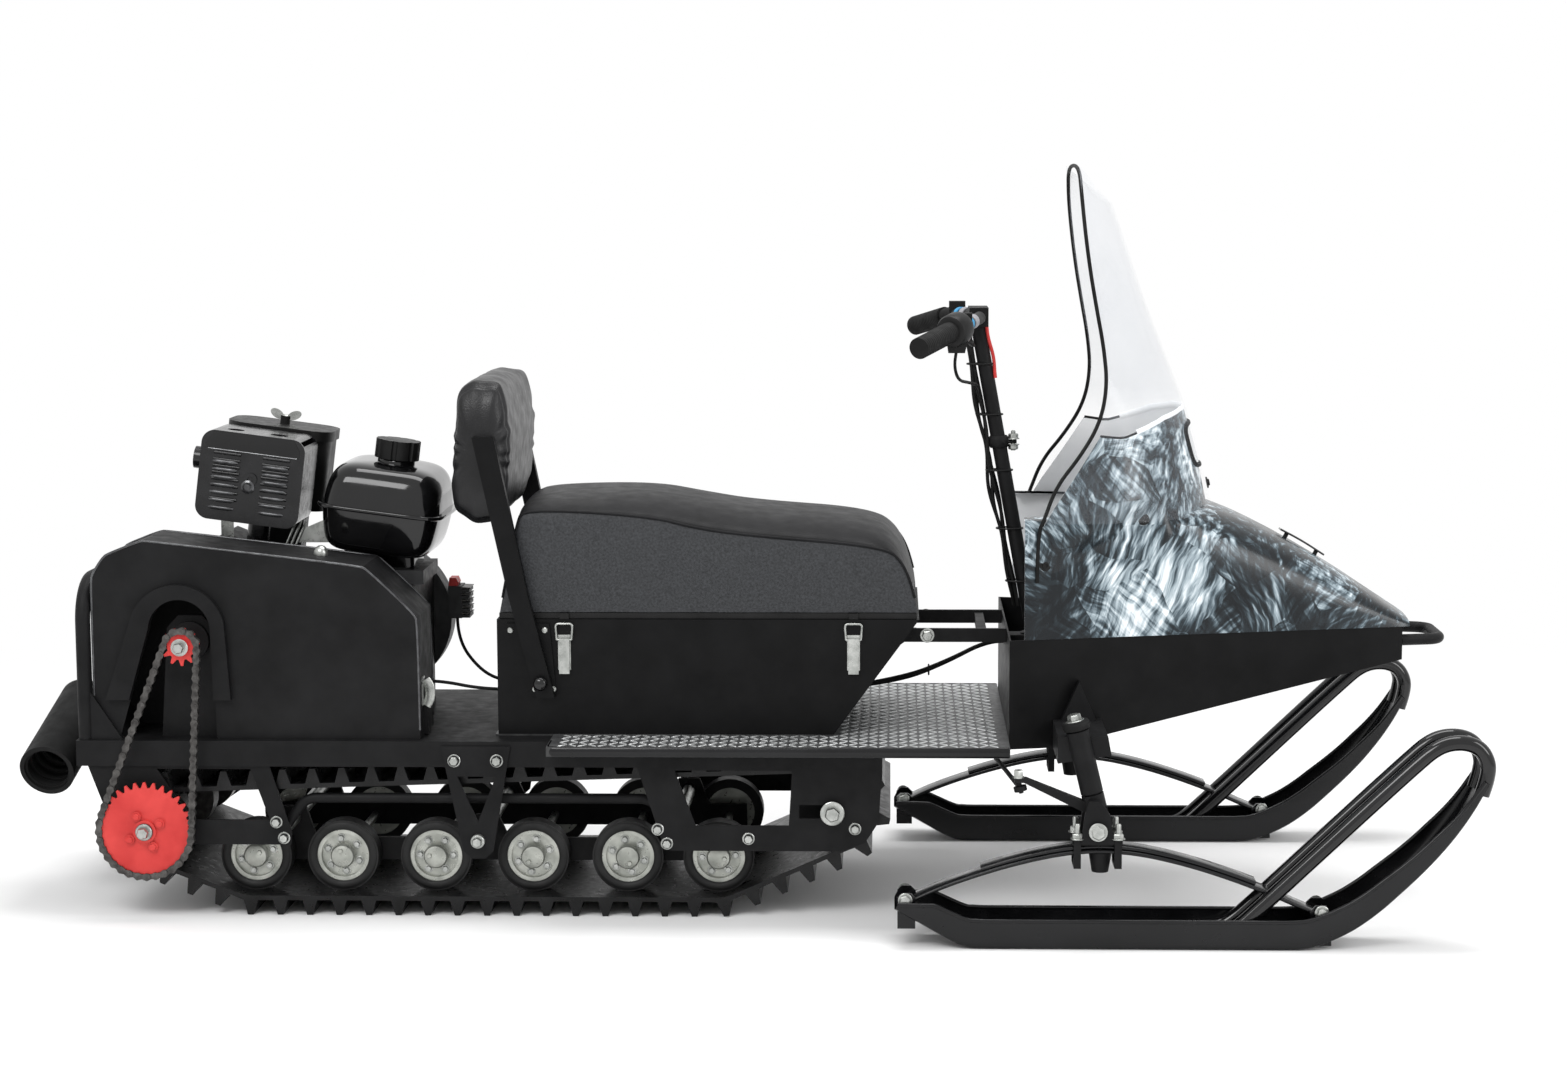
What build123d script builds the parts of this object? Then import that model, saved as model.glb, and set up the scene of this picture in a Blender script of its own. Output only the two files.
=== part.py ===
from build123d import *
import math
import os

# A small utility snowmobile: rear engine, rubber track in a tunnel, seat on a storage box, and a
# front module with hood, windshield and two steered skis.
# +X forward, +Y to the rider's left, +Z up, floor at Z = 0, millimetres.

# Track and running gear
TRACK_HALF = 245
BELT = 8
LUG_HEIGHT = 26
LUG_PITCH = 52
ROLLER_R = 63
ROLLER_HALF_GAUGE = 185
ROLLER_WIDTH = 36
RIM_R = 46
ROLLER_XS = (-843, -689, -524, -352, -185, -25)
DRUM_X, DRUM_Z, DRUM_BELT_R = -1017, 159, 66
IDLER_X, IDLER_Z, IDLER_BELT_R = 176, 190, 75
AXLE_R = 8
SHAFT_R = 12
DRIVE_SHAFT_R = 15
FIT = 0.3

# Tunnel and side frames
TUNNEL_REAR, TUNNEL_FRONT = -1142, 262
DECK_Z = 313
SHEET = 4
RAIL_DEPTH = 45
RAIL_IN, RAIL_OUT = 250, 262
PLATE_IN, PLATE_OUT = 252, 256
BOARD_HALF = 325
BOARD_T = 3
BOARD_REAR, BOARD_FRONT = -313, 480
BOARD_LIP = 14

# Chain drive
PITCH = 15.875
BIG_TEETH, SMALL_TEETH = 32, 11
JACK_X, JACK_Z = -946, 483
CHAIN_Y = -290

# Seat and box
BOX_HALF = 205
BOX_WALL = 4
BOX_TOP = 519
SEAT_GAP = 0.6
SEAT_INSET = 5
POST_STANDOFF = 4

# Steering
COLUMN_LEAN = 10.3
COLUMN_FOOT_X, COLUMN_FOOT_Z = 566, 279
COLUMN_LENGTH = 772
COLUMN_R = 13
SPINDLE_LEAN = 13.6
SPINDLE_X, SPINDLE_Z = 622, 223
SKI_Y = 405
SPINDLE_R = 13
HOUSING_R = 19
ARM_RADIUS = 115
BALL_Z = 273
BALL_R = 11
TIE_R = 4
EYE_PLAY = 0.4
EYE_T = 8
EYE_STACK = 9.5

# Skis
SKI_HALF = 50
SKI_SHEET = 4
LOOP_R = 13
LOOP_HALF_GAUGE = 31

os.makedirs("parts", exist_ok=True)
ROLLER_Z = LUG_HEIGHT + BELT + ROLLER_R
BOARD_TOP = DECK_Z + BOARD_T
SEAT_HALF = BOX_HALF - SEAT_INSET
POST_IN = BOX_HALF + POST_STANDOFF


def box(x0, x1, y0, y1, z0, z1):
    """Block between two corners."""
    return Pos((x0 + x1) / 2, (y0 + y1) / 2, (z0 + z1) / 2) * Box(x1 - x0, y1 - y0, z1 - z0)


def side_face(points, y=0):
    """Face in the side view from (x, z) points."""
    return Pos(0, y, 0) * (Plane.XZ * make_face(Polyline(*points, close=True)))


def side(points, y0, y1):
    """Side-view outline drawn out from y0 to y1."""
    return extrude(side_face(points, y1), y1 - y0)


def cyl_y(x, z, y0, y1, r):
    """Round bar across the machine."""
    return Pos(x, (y0 + y1) / 2, z) * Rot(90, 0, 0) * Cylinder(r, y1 - y0)


def rod(a, b, r):
    """Round bar between two points."""
    a, b = Vector(*a), Vector(*b)
    return extrude(Plane(origin=a, z_dir=b - a) * Circle(r), (b - a).length)


def tube(points, r, bend, bore=0):
    """Bent round tube through points."""
    path = FilletPolyline(*points, radius=bend) if len(points) > 2 else Line(*points)
    start = Plane(origin=path @ 0, z_dir=path % 0)
    section = start * Circle(r)
    if bore:
        section -= start * Circle(bore)
    return sweep(section, path=path)


def left_of(part):
    """Mirror image on the rider's left."""
    return mirror(part, about=Plane.XZ)


def both(part):
    """A piece and its mirror image."""
    return part + left_of(part)


def belt_runs(circles):
    """Tangent points of a belt round (x, z, r) circles listed counter-clockwise."""
    runs = []
    for (x1, z1, r1), (x2, z2, r2) in zip(circles, circles[1:] + circles[:1]):
        d = math.hypot(x2 - x1, z2 - z1)
        ux, uz = (x2 - x1) / d, (z2 - z1) / d
        c = (r1 - r2) / d
        k = math.sqrt(1 - c * c)
        nx, nz = c * ux + k * uz, c * uz - k * ux
        runs.append(((x1 + r1 * nx, z1 + r1 * nz), (x2 + r2 * nx, z2 + r2 * nz)))
    return runs


def belt_wire(circles):
    """Closed wire of lines and arcs round the circles, in the XY sketch plane."""
    runs = belt_runs(circles)
    edges = []
    for i, (a, b) in enumerate(runs):
        cx, cz, r = circles[(i + 1) % len(circles)]
        nxt = runs[(i + 1) % len(runs)][0]
        t0 = math.atan2(b[1] - cz, b[0] - cx)
        t1 = math.atan2(nxt[1] - cz, nxt[0] - cx)
        mid = t0 + ((t1 - t0) % (2 * math.pi)) / 2
        edges += [Line(a, b), ThreePointArc(b, (cx + r * math.cos(mid), cz + r * math.sin(mid)), nxt)]
    return Wire(edges)


def ring(circles, grow, y0, y1, depth):
    """Band that follows a belt line."""
    outer = make_face(belt_wire([(x, z, r + grow) for x, z, r in circles]))
    inner = make_face(belt_wire([(x, z, r + grow - depth) for x, z, r in circles]))
    return extrude(Pos(0, y1, 0) * (Plane.XZ * (outer - inner)), y1 - y0)


parts = {}

# Track: one loop with the lugs in its outline
BELT_CIRCLES = [
    (DRUM_X, DRUM_Z, DRUM_BELT_R),
    (ROLLER_XS[0], ROLLER_Z, ROLLER_R + BELT),
    (ROLLER_XS[-1], ROLLER_Z, ROLLER_R + BELT),
    (IDLER_X, IDLER_Z, IDLER_BELT_R),
]
outer_line = belt_wire(BELT_CIRCLES)
lug_count = round(outer_line.length / LUG_PITCH)
outline = []
for i in range(lug_count):
    for step, root, height in ((0, 13, LUG_HEIGHT), (0.5, 0, 0)):
        t = ((i + step) / lug_count) % 1
        p, d = outer_line.position_at(t), outer_line.tangent_at(t)
        n = Vector(d.Y, -d.X, 0)
        if height:
            outline += [p - d * root, p - d * 5 + n * height, p + d * 5 + n * height, p + d * root]
        else:
            outline.append(p)
belt_face = make_face(Polyline(*[(p.X, p.Y) for p in outline], close=True))
belt_face -= make_face(belt_wire([(x, z, r - BELT) for x, z, r in BELT_CIRCLES]))
parts["track"] = extrude(Pos(0, TRACK_HALF, 0) * (Plane.XZ * belt_face), 2 * TRACK_HALF)

# Tunnel: deck plate with a folded rail down each side
tunnel = box(TUNNEL_REAR, TUNNEL_FRONT, -RAIL_OUT, RAIL_OUT, DECK_Z - SHEET, DECK_Z)
tunnel += both(box(TUNNEL_REAR, TUNNEL_FRONT, RAIL_IN, RAIL_OUT, DECK_Z - RAIL_DEPTH, DECK_Z - SHEET))
tunnel += box(TUNNEL_REAR, TUNNEL_REAR + SHEET, -RAIL_IN, RAIL_IN, DECK_Z - 20, DECK_Z - SHEET)
parts["tunnel"] = tunnel

# Side frames: rear plate with its window, front plate with its slot
RAIL_Z = DECK_Z - RAIL_DEPTH
CROSS_SHAFTS = ((-786, 152), (-440, 139), (-100, 145))
rear_plate = side(
    [(-1124, RAIL_Z), (-1095, 188), (-1070, 125), (-1040, 105), (-990, 105), (-955, 128), (-770, 128),
     (-768, 150), (-805, RAIL_Z)], PLATE_IN, PLATE_OUT)
rear_plate -= side([(-1003, RAIL_Z - 6), (-838, RAIL_Z - 6), (-806, 172), (-943, 172)], PLATE_IN, PLATE_OUT)
front_plate = side(
    [(-163, RAIL_Z), (-122, 140), (-108, 120), (190, 120), (232, 135), (256, 172), (TUNNEL_FRONT, RAIL_Z)],
    PLATE_IN, PLATE_OUT)
front_plate -= side([(-98, RAIL_Z - 6), (106, RAIL_Z - 6), (100, 165), (-62, 165)], PLATE_IN, PLATE_OUT)
front_plate -= box(IDLER_X - 58, IDLER_X, PLATE_IN, PLATE_OUT, IDLER_Z - SHAFT_R, IDLER_Z + SHAFT_R)
front_plate -= cyl_y(IDLER_X, IDLER_Z, PLATE_IN, PLATE_OUT, SHAFT_R)
rear_plate -= cyl_y(DRUM_X, DRUM_Z, PLATE_IN, PLATE_OUT, DRIVE_SHAFT_R + FIT)
frame_left = rear_plate + front_plate
for x, z in ((-795, 168), (-782, 140), (-128, 158), (-112, 133), (215, 160), (30, 142)):
    frame_left += cyl_y(x, z, PLATE_OUT, PLATE_OUT + 7, 8)
parts["side_frame_left"] = frame_left
parts["side_frame_right"] = left_of(frame_left)

# Hanger brackets: V plates bolted on the rails, with a triangular window
hanger = side([(-503, DECK_Z - 8), (-382, DECK_Z - 8), (-414, 120), (-428, 107), (-452, 107), (-466, 120)],
              RAIL_OUT, RAIL_OUT + SHEET)
hanger -= side([(-475, 252), (-408, 252), (-440, 172)], RAIL_OUT, RAIL_OUT + SHEET)
hanger -= cyl_y(*CROSS_SHAFTS[1], RAIL_OUT, RAIL_OUT + SHEET, SHAFT_R)
for x in (-480, -406):
    hanger += cyl_y(x, 280, RAIL_OUT + SHEET, RAIL_OUT + SHEET + 7, 9)
parts["hanger_brackets"] = both(hanger)

# Roller axles and the cross shafts that carry the slide rails
axles = Part()
for x in ROLLER_XS:
    axles += cyl_y(x, ROLLER_Z, -ROLLER_HALF_GAUGE - 26, ROLLER_HALF_GAUGE + 26, AXLE_R)
for (x, z), reach in zip(CROSS_SHAFTS, (PLATE_IN, RAIL_OUT + SHEET + 10, PLATE_IN)):
    axles += cyl_y(x, z, -reach, reach, SHAFT_R)
parts["roller_axles"] = axles

# Slide rails: a bar with three uprights each side, and a bent guard tube outside it
rail = side(
    [(-872, 78), (8, 78), (8, 118), (-62, 118), (-80, 166), (-120, 166), (-140, 118), (-402, 118),
     (-420, 160), (-460, 160), (-478, 118), (-746, 118), (-764, 174), (-808, 174), (-828, 118), (-872, 118)],
    140, 150)
guard = tube([(CROSS_SHAFTS[0][0], 228, CROSS_SHAFTS[0][1]), (-748, 228, 206), (-140, 228, 206),
              (CROSS_SHAFTS[2][0], 228, CROSS_SHAFTS[2][1])], 9, 40)
parts["slide_rails"] = both(rail + guard) - axles

# Rollers: dished steel rims with rubber tyres
rims, tyres = Part(), Part()
y_in, y_out = ROLLER_HALF_GAUGE - ROLLER_WIDTH / 2, ROLLER_HALF_GAUGE + ROLLER_WIDTH / 2
for x in ROLLER_XS:
    rim = cyl_y(x, ROLLER_Z, y_in + 4, y_out - 3, RIM_R)
    rim -= cyl_y(x, ROLLER_Z, y_out - 11, y_out - 3, RIM_R - 7)
    rim += cyl_y(x, ROLLER_Z, y_out - 11, y_out + 4, 20)
    rims += both(rim - cyl_y(x, ROLLER_Z, y_in, y_out + 10, AXLE_R))
    tyre = cyl_y(x, ROLLER_Z, y_in, y_out, ROLLER_R - FIT) - cyl_y(x, ROLLER_Z, y_in, y_out, RIM_R)
    tyres += both(tyre)
parts["wheel_rims"] = rims
parts["wheel_tyres"] = tyres

# Drive axle with three drums, and the front idler
drive = cyl_y(DRUM_X, DRUM_Z, CHAIN_Y - 12, PLATE_OUT + 12, DRIVE_SHAFT_R)
for y in (-180, 0, 180):
    drive += cyl_y(DRUM_X, DRUM_Z, y - 20, y + 20, DRUM_BELT_R - BELT - FIT)
parts["drive_axle"] = drive
idler = cyl_y(IDLER_X, IDLER_Z, -PLATE_OUT - 14, PLATE_OUT + 14, SHAFT_R - FIT)
for y in (-160, 160):
    idler += cyl_y(IDLER_X, IDLER_Z, y - 22, y + 22, IDLER_BELT_R - BELT - FIT)
parts["front_idler"] = idler


def sprocket(x, z, teeth, bore, phase):
    """Toothed wheel in the chain plane."""
    pr = PITCH / (2 * math.sin(math.pi / teeth))
    pts = []
    for k in range(teeth):
        a = phase + 2 * math.pi * k / teeth
        for dr, da in ((-5, -0.36), (5, -0.1), (5, 0.1), (-5, 0.36)):
            b = a + da * 2 * math.pi / teeth
            pts.append((x + (pr + dr) * math.cos(b), z + (pr + dr) * math.sin(b)))
    return side(pts, CHAIN_Y - 2.5, CHAIN_Y + 2.5) - cyl_y(x, z, CHAIN_Y - 9, CHAIN_Y + 9, bore)


BIG_R = PITCH / (2 * math.sin(math.pi / BIG_TEETH))
SMALL_R = PITCH / (2 * math.sin(math.pi / SMALL_TEETH))
driven = sprocket(DRUM_X, DRUM_Z, BIG_TEETH, DRIVE_SHAFT_R, 0)
NEAR_FACE = CHAIN_Y - 2.5
for k in range(4):
    a = math.radians(90 * k + 28)
    driven += cyl_y(DRUM_X + 30 * math.cos(a), DRUM_Z + 30 * math.sin(a), NEAR_FACE - 4, NEAR_FACE, 5)
driven += cyl_y(DRUM_X, DRUM_Z, NEAR_FACE - 6, NEAR_FACE, 20) - cyl_y(
    DRUM_X, DRUM_Z, NEAR_FACE - 6, CHAIN_Y, DRIVE_SHAFT_R)
parts["driven_sprocket"] = driven
parts["drive_sprocket"] = sprocket(JACK_X, JACK_Z, SMALL_TEETH, SHAFT_R, 0.2)

# Chain: two rows of side plates with pins between them
CHAIN_CIRCLES = [(DRUM_X, DRUM_Z, BIG_R), (JACK_X, JACK_Z, SMALL_R)]
chain = ring(CHAIN_CIRCLES, 6.5, CHAIN_Y - 5.5, CHAIN_Y - 2.5, 13)
chain += ring(CHAIN_CIRCLES, 6.5, CHAIN_Y + 2.5, CHAIN_Y + 5.5, 13)
pitch_line = belt_wire(CHAIN_CIRCLES)
links = round(pitch_line.length / PITCH)
clear_of = [(x, z, r + 12) for x, z, r in CHAIN_CIRCLES]
for k in range(links):
    p = pitch_line.position_at(k / links)
    if all(math.hypot(p.X - x, p.Y - z) > r for x, z, r in clear_of):
        chain += cyl_y(p.X, p.Y, CHAIN_Y - 7, CHAIN_Y + 7, 3.5)
    else:
        chain += cyl_y(p.X, p.Y, CHAIN_Y - 7, CHAIN_Y - 5.5, 3.5)
parts["drive_chain"] = chain

# Bearing plate that carries the jackshaft, standing on the deck inside the cover
BEARING_FOOT = 54
bearing = side([(JACK_X - BEARING_FOOT, DECK_Z), (JACK_X + BEARING_FOOT, DECK_Z), (JACK_X + 41, JACK_Z + 22),
                (JACK_X + 21, JACK_Z + 44), (JACK_X - 21, JACK_Z + 44), (JACK_X - 41, JACK_Z + 22)], -218, -210)
bearing += cyl_y(JACK_X, JACK_Z, -228, -218, 34)
bearing += box(JACK_X - BEARING_FOOT, JACK_X + BEARING_FOOT, -210, -170, DECK_Z, DECK_Z + 6)
bearing -= cyl_y(JACK_X, JACK_Z, -240, -200, SHAFT_R)
jackshaft = cyl_y(JACK_X, JACK_Z, CHAIN_Y - 10, -110, SHAFT_R)
parts["bearing_plate"] = bearing
parts["drive_sprocket"] += jackshaft

# Drive cover: folded sheet case, open below, with a lipped horseshoe opening for the chain
COVER_NEAR, COVER_FAR = -246, -96
COVER_T = 3
cover_line = [(-1064, DECK_Z), (-1111, 383), (-1111, 599), (-1088, 634), (-1019, 662), (-635, 617), (-543, 528),
              (-541, DECK_Z)]
cover_in = [(-1064 + COVER_T, DECK_Z), (-1111 + COVER_T, 384), (-1111 + COVER_T, 598), (-1086, 631), (-1019, 662 - COVER_T),
            (-636, 617 - COVER_T), (-543 - COVER_T, 527), (-541 - COVER_T, DECK_Z)]


def arch(rear_foot, rear, crown, front, front_foot, y0, y1):
    """Horseshoe block: straight legs under a round crown, given as (x, z) points."""
    face = make_face([Line(rear_foot, rear), ThreePointArc(rear, crown, front), Line(front, front_foot),
                      Line(front_foot, rear_foot)])
    return extrude(Pos(0, y1, 0) * (Plane.XZ * face), y1 - y0)


ARCH_IN = ((-1068, DECK_Z), (-1010, 510), (-955, 560), (-902, 505), (-897, DECK_Z))
ARCH_OUT = ((-1112, DECK_Z), (-1043, 518), (-952, 585), (-878, 520), (-864, DECK_Z))
LIP_DEPTH = 14
cover = side(cover_line, COVER_NEAR, COVER_FAR) - side(cover_in, COVER_NEAR + COVER_T, COVER_FAR - COVER_T)
cover -= arch(*ARCH_IN, COVER_NEAR - 1, COVER_NEAR + COVER_T)
lip = arch(*ARCH_OUT, COVER_NEAR - LIP_DEPTH, COVER_NEAR) - arch(*ARCH_IN, COVER_NEAR - LIP_DEPTH, COVER_NEAR)
cover += lip - box(-1200, -800, COVER_NEAR - LIP_DEPTH, COVER_NEAR, 0, 384)
cover += box(-546, -533, -205, -180, DECK_Z + 2, 410)
cover -= cyl_y(JACK_X, JACK_Z, COVER_FAR - 20, COVER_FAR + 5, 30)
parts["drive_cover"] = cover

# Engine: crankcase on its feet, slanted finned cylinder, fan shroud and recoil starter
CRANK_X, CRANK_Z = -680, 470
engine = box(-800, -575, -88, 150, 332, 560)
engine += both(box(-810, -565, 60, 88, DECK_Z, 332)) + box(-810, -565, -88, 88, 320, 332)
barrel = box(-95, 95, -75, 120, 0, 40)
for k in range(5):
    barrel += box(-105, 105, -82, 128, 40 + 22 * k, 52 + 22 * k) + box(-80, 80, -60, 110, 52 + 22 * k, 62 + 22 * k)
barrel += box(-100, 100, -78, 124, 150, 190)
engine += Pos(-795, 0, 480) * Rot(0, -68, 0) * barrel
engine -= box(-1300, -1000, -300, 300, 0, 1000)
engine += cyl_y(CRANK_X, CRANK_Z, 150, 205, 138) + cyl_y(CRANK_X, CRANK_Z, 205, 232, 92)
engine += cyl_y(CRANK_X, CRANK_Z, 232, 240, 60)
for k in range(8):
    a = math.radians(45 * k)
    engine -= cyl_y(CRANK_X + 76 * math.cos(a), CRANK_Z + 76 * math.sin(a), 222, 240, 9)
engine += box(-720, -560, -60, 110, 560, 585)
parts["engine_block"] = engine

# Muffler guard with two columns of louvres, tilted with the engine
TILT = 7.5
guard_x, guard_z, guard_w, guard_h = -863, 752, 186, 160
muffler = fillet(Box(guard_w, 120, guard_h).edges().filter_by(Axis.Y), 24)
muffler -= Box(guard_w - 8, 112, guard_h - 8)
muffler += Pos(0, 6, 0) * (Rot(0, 90, 0) * Cylinder(58, guard_w - 8))
LOUVRE_ROWS, LOUVRE_PITCH, LOUVRE_R = 8, 11.7, 3
for col in (-44, 44):
    for row in range(LOUVRE_ROWS):
        z = LOUVRE_PITCH * (row - (LOUVRE_ROWS - 1) / 2)
        muffler += Pos(col, -60, z) * Rot(0, 90, 0) * Cylinder(LOUVRE_R, 48)
muffler += Pos(2, -61, 0) * Rot(90, 0, 0) * (Cylinder(11, 6) - Cylinder(6, 6))
for col in (-42, 36):
    muffler -= Pos(col, -18, guard_h / 2) * Cylinder(15, 20)
muffler += Pos(-guard_w / 2 - 6, 0, 20) * Rot(0, 90, 0) * (Cylinder(20, 30) - Cylinder(16, 30))
muffler += Pos(10, 20, -guard_h / 2 - 40) * Cylinder(20, 90)
parts["muffler"] = Pos(guard_x, -26, guard_z) * Rot(0, TILT, 0) * muffler - engine

# Air cleaner canister with its lid and wing nut
cleaner = Pos(-850, 116, 752) * Rot(0, TILT, 0) * (
    fillet(Box(186, 130, 130).edges().filter_by(Axis.Z), 40) + Pos(0, 0, 74) * fillet(
        Box(194, 138, 18).edges().filter_by(Axis.Z), 42) + Pos(0, 0, 90) * Cylinder(9, 16)
    + Pos(30, -10, -95) * Box(60, 50, 90))
parts["air_cleaner"] = cleaner - engine

# Fuel tank: two pressed halves with a seam flange, and a lobed cap
tank = loft([Pos(0, 0, z) * RectangleRounded(w, d, 34)
             for z, w, d in ((-78, 150, 190), (-60, 196, 236), (0, 214, 256))], ruled=True)
tank += loft([Pos(0, 0, z) * RectangleRounded(w, d, 34)
              for z, w, d in ((0, 214, 256), (58, 196, 238), (80, 160, 200))], ruled=True)
tank += extrude(RectangleRounded(230, 272, 40), 5)
tank += Pos(8, -20, 84) * Cylinder(34, 14)
place = Pos(-634, 22, 692) * Rot(0, TILT, 0)
parts["fuel_tank"] = place * tank + box(-700, -580, -40, 90, 585, 622) - engine
cap = Cylinder(40, 34)
for k in range(8):
    cap -= Rot(0, 0, 45 * k) * Pos(43, 0, 0) * Cylinder(6, 34)
parts["fuel_cap"] = place * (Pos(8, -20, 108) * cap)

# Rectifier with cooling fins on the front of the fan shroud
regulator = box(-545, -520, 130, 180, 470, 530)
for k in range(5):
    regulator += box(-520, -505, 130, 180, 471 + 12 * k, 476 + 12 * k)
parts["regulator"] = regulator - engine

# Rear hoop with gussets, and the ribbed rubber tube behind the tunnel
hoop = tube([(-1127, -247, DECK_Z), (-1127, -247, 588), (-1127, 247, 588), (-1127, 247, DECK_Z)], 13, 70)
parts["rear_hoop"] = hoop + both(side([(-1120, DECK_Z), (-1120, 403), (-1061, DECK_Z)], 250, 254))
tube_a, tube_b = (-1214, -196, 246), (-1198, 20, 330)
duct = rod(tube_a, tube_b, 49) - rod(tube_a, tube_b, 41)
axis = (Vector(*tube_b) - Vector(*tube_a)).normalized()
for k in range(9):
    a = Vector(*tube_a) + axis * (6 + 24 * k)
    b = a + axis * 9
    duct += rod((a.X, a.Y, a.Z), (b.X, b.Y, b.Z), 42) - rod((a.X, a.Y, a.Z), (b.X, b.Y, b.Z), 37)
parts["rear_tube"] = duct
strap = side([(TUNNEL_REAR - 60, 300), (TUNNEL_REAR, 284), (TUNNEL_REAR, DECK_Z), (TUNNEL_REAR - 60, 330)], -90, -60)
parts["tunnel"] += strap - rod(tube_a, tube_b, 49)

# Running board: checker plate with a folded lip round the outer edge
board = box(BOARD_REAR, BOARD_FRONT, -BOARD_HALF, BOARD_HALF, DECK_Z, BOARD_TOP)
board += box(-415, BOARD_REAR, -BOX_HALF, BOX_HALF, DECK_Z, BOARD_TOP)
board += both(box(BOARD_REAR, BOARD_FRONT, BOARD_HALF - SHEET, BOARD_HALF, DECK_Z - BOARD_LIP, DECK_Z))
board += both(box(BOARD_REAR, BOARD_REAR + SHEET, RAIL_OUT, BOARD_HALF - SHEET, DECK_Z - BOARD_LIP, DECK_Z))
parts["running_board"] = board

# Seat box: open-topped case with a raked front wall
BOX_FRONT_LOW, BOX_FRONT_HIGH = 177, 326
box_line = [(-410, BOARD_TOP), (BOX_FRONT_LOW, BOARD_TOP), (BOX_FRONT_HIGH, BOX_TOP), (-410, BOX_TOP)]
box_void = [(-410 + BOX_WALL, BOARD_TOP + BOX_WALL), (BOX_FRONT_LOW - BOX_WALL, BOARD_TOP + BOX_WALL),
            (BOX_FRONT_HIGH - BOX_WALL, BOX_TOP + 1), (-410 + BOX_WALL, BOX_TOP + 1)]
seat_box = side(box_line, -BOX_HALF, BOX_HALF) - side(box_void, -BOX_HALF + BOX_WALL, BOX_HALF - BOX_WALL)
parts["seat_box"] = seat_box

# Seat: crowned cushion on a thin base that closes the box
SEAT_Z = BOX_TOP + SEAT_GAP
SEAT_BASE = 10
seat_low = [(-408, SEAT_Z + SEAT_BASE), (-373, 690), (-360, 712), (-145, 700), (-58, 677), (47, 664), (238, 650),
            (282, 624), (314, 548), (324, SEAT_Z + SEAT_BASE)]
seat_high = [(-404, SEAT_Z + SEAT_BASE), (-380, 706), (-355, 728), (-159, 737), (-58, 720), (30, 704), (230, 688),
             (286, 655), (314, 552), (322, SEAT_Z + SEAT_BASE)]
parts["seat_cushion"] = loft([side_face(seat_low, -SEAT_HALF), side_face(seat_high, -SEAT_HALF + 44),
                              side_face(seat_high, SEAT_HALF - 44), side_face(seat_low, SEAT_HALF)], ruled=True)
base = side([(-406, SEAT_Z), (BOX_FRONT_HIGH - 4, SEAT_Z), (BOX_FRONT_HIGH - 4, SEAT_Z + SEAT_BASE),
             (-406, SEAT_Z + SEAT_BASE)], -SEAT_HALF, SEAT_HALF)
LATCH_XS = (-292, 212)
for x in LATCH_XS:
    base += both(box(x - 8, x + 8, SEAT_HALF, BOX_HALF, SEAT_Z, SEAT_Z + SEAT_BASE))
parts["seat_base"] = base

# Toggle latches on the box sides
latches = Part()
for x in LATCH_XS:
    latch = box(x - 11, x + 11, BOX_HALF, BOX_HALF + 2, 430, 492)
    latch += box(x - 9, x + 9, BOX_HALF + 2, BOX_HALF + 8, 424, 486)
    latch += tube([(x - 13, BOX_HALF + 6, 484), (x - 15, BOX_HALF + 6, 512), (x + 15, BOX_HALF + 6, 512),
                   (x + 13, BOX_HALF + 6, 484)], 2, 5)
    latch += rod((x - 13, BOX_HALF + 6, 484), (x + 13, BOX_HALF + 6, 484), 2)
    latches += both(latch)
parts["box_latches"] = latches

# Backrest: padded roll on two flat posts, each in a bolted bracket on the box side
POST_T = 18
post = side([(-340, 384), (-308, 384), (-352, 560), (-408, 838), (-446, 838), (-386, 560)], POST_IN, POST_IN + POST_T)
bracket = side([(-392, 512), (-318, 512), (-306, 384), (-352, 384)], BOX_HALF, POST_IN)
posts = post + cyl_y(-332, 410, POST_IN + POST_T, POST_IN + POST_T + 8, 12)
parts["backrest_posts"] = both(posts + bracket)
pad_line = [(-470, 690), (-420, 684), (-396, 708), (-386, 800), (-384, 850), (-396, 920), (-420, 936), (-470, 936),
            (-508, 915), (-518, 850), (-512, 760), (-500, 710)]
pad_end = [(-468, 706), (-424, 700), (-408, 720), (-400, 800), (-398, 848), (-408, 908), (-424, 920), (-468, 920),
           (-492, 903), (-500, 848), (-496, 762), (-488, 720)]
pad = loft([side_face(pad_end, -POST_IN + 1), side_face(pad_line, -POST_IN + 24),
            side_face(pad_line, POST_IN - 24), side_face(pad_end, POST_IN - 1)], ruled=True)
parts["backrest_pad"] = pad + both(cyl_y(-438, 820, POST_IN - 1, POST_IN, 14))

# Nose tub: sheet hull that narrows to the front, open on top under the hood
SEAM_Z = 492
TUB_REAR, TUB_FRONT = 480, 1177
TUB_HALF_REAR, TUB_HALF_FRONT = 268, 100
TUB_T = 3


def half_at(x):
    """Half width of the nose at a station."""
    return TUB_HALF_REAR + (TUB_HALF_FRONT - TUB_HALF_REAR) * (x - TUB_REAR) / (TUB_FRONT - TUB_REAR)


FLOOR_BREAK_X, FLOOR_REAR_Z, FLOOR_FRONT_Z = 560, 303, 434


def hull(inset, rise):
    """Nose form: side view drawn across, cut to the plan that narrows to the front."""
    x0, x1 = TUB_REAR + inset, TUB_FRONT - inset
    high = SEAM_Z + rise
    low = inset * 1.03
    flank = side([(x0, FLOOR_REAR_Z + low), (FLOOR_BREAK_X, FLOOR_REAR_Z + low), (x1, FLOOR_FRONT_Z + low), (x1, high),
                  (x0, high)], -2 * TUB_HALF_REAR, 2 * TUB_HALF_REAR)
    w0, w1 = half_at(x0) - inset, half_at(x1) - inset
    plan = make_face(Polyline((x0, -w0), (x1, -w1), (x1, w1), (x0, w0), close=True))
    return flank & extrude(Pos(0, 0, FLOOR_REAR_Z) * plan, high - FLOOR_REAR_Z)


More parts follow.
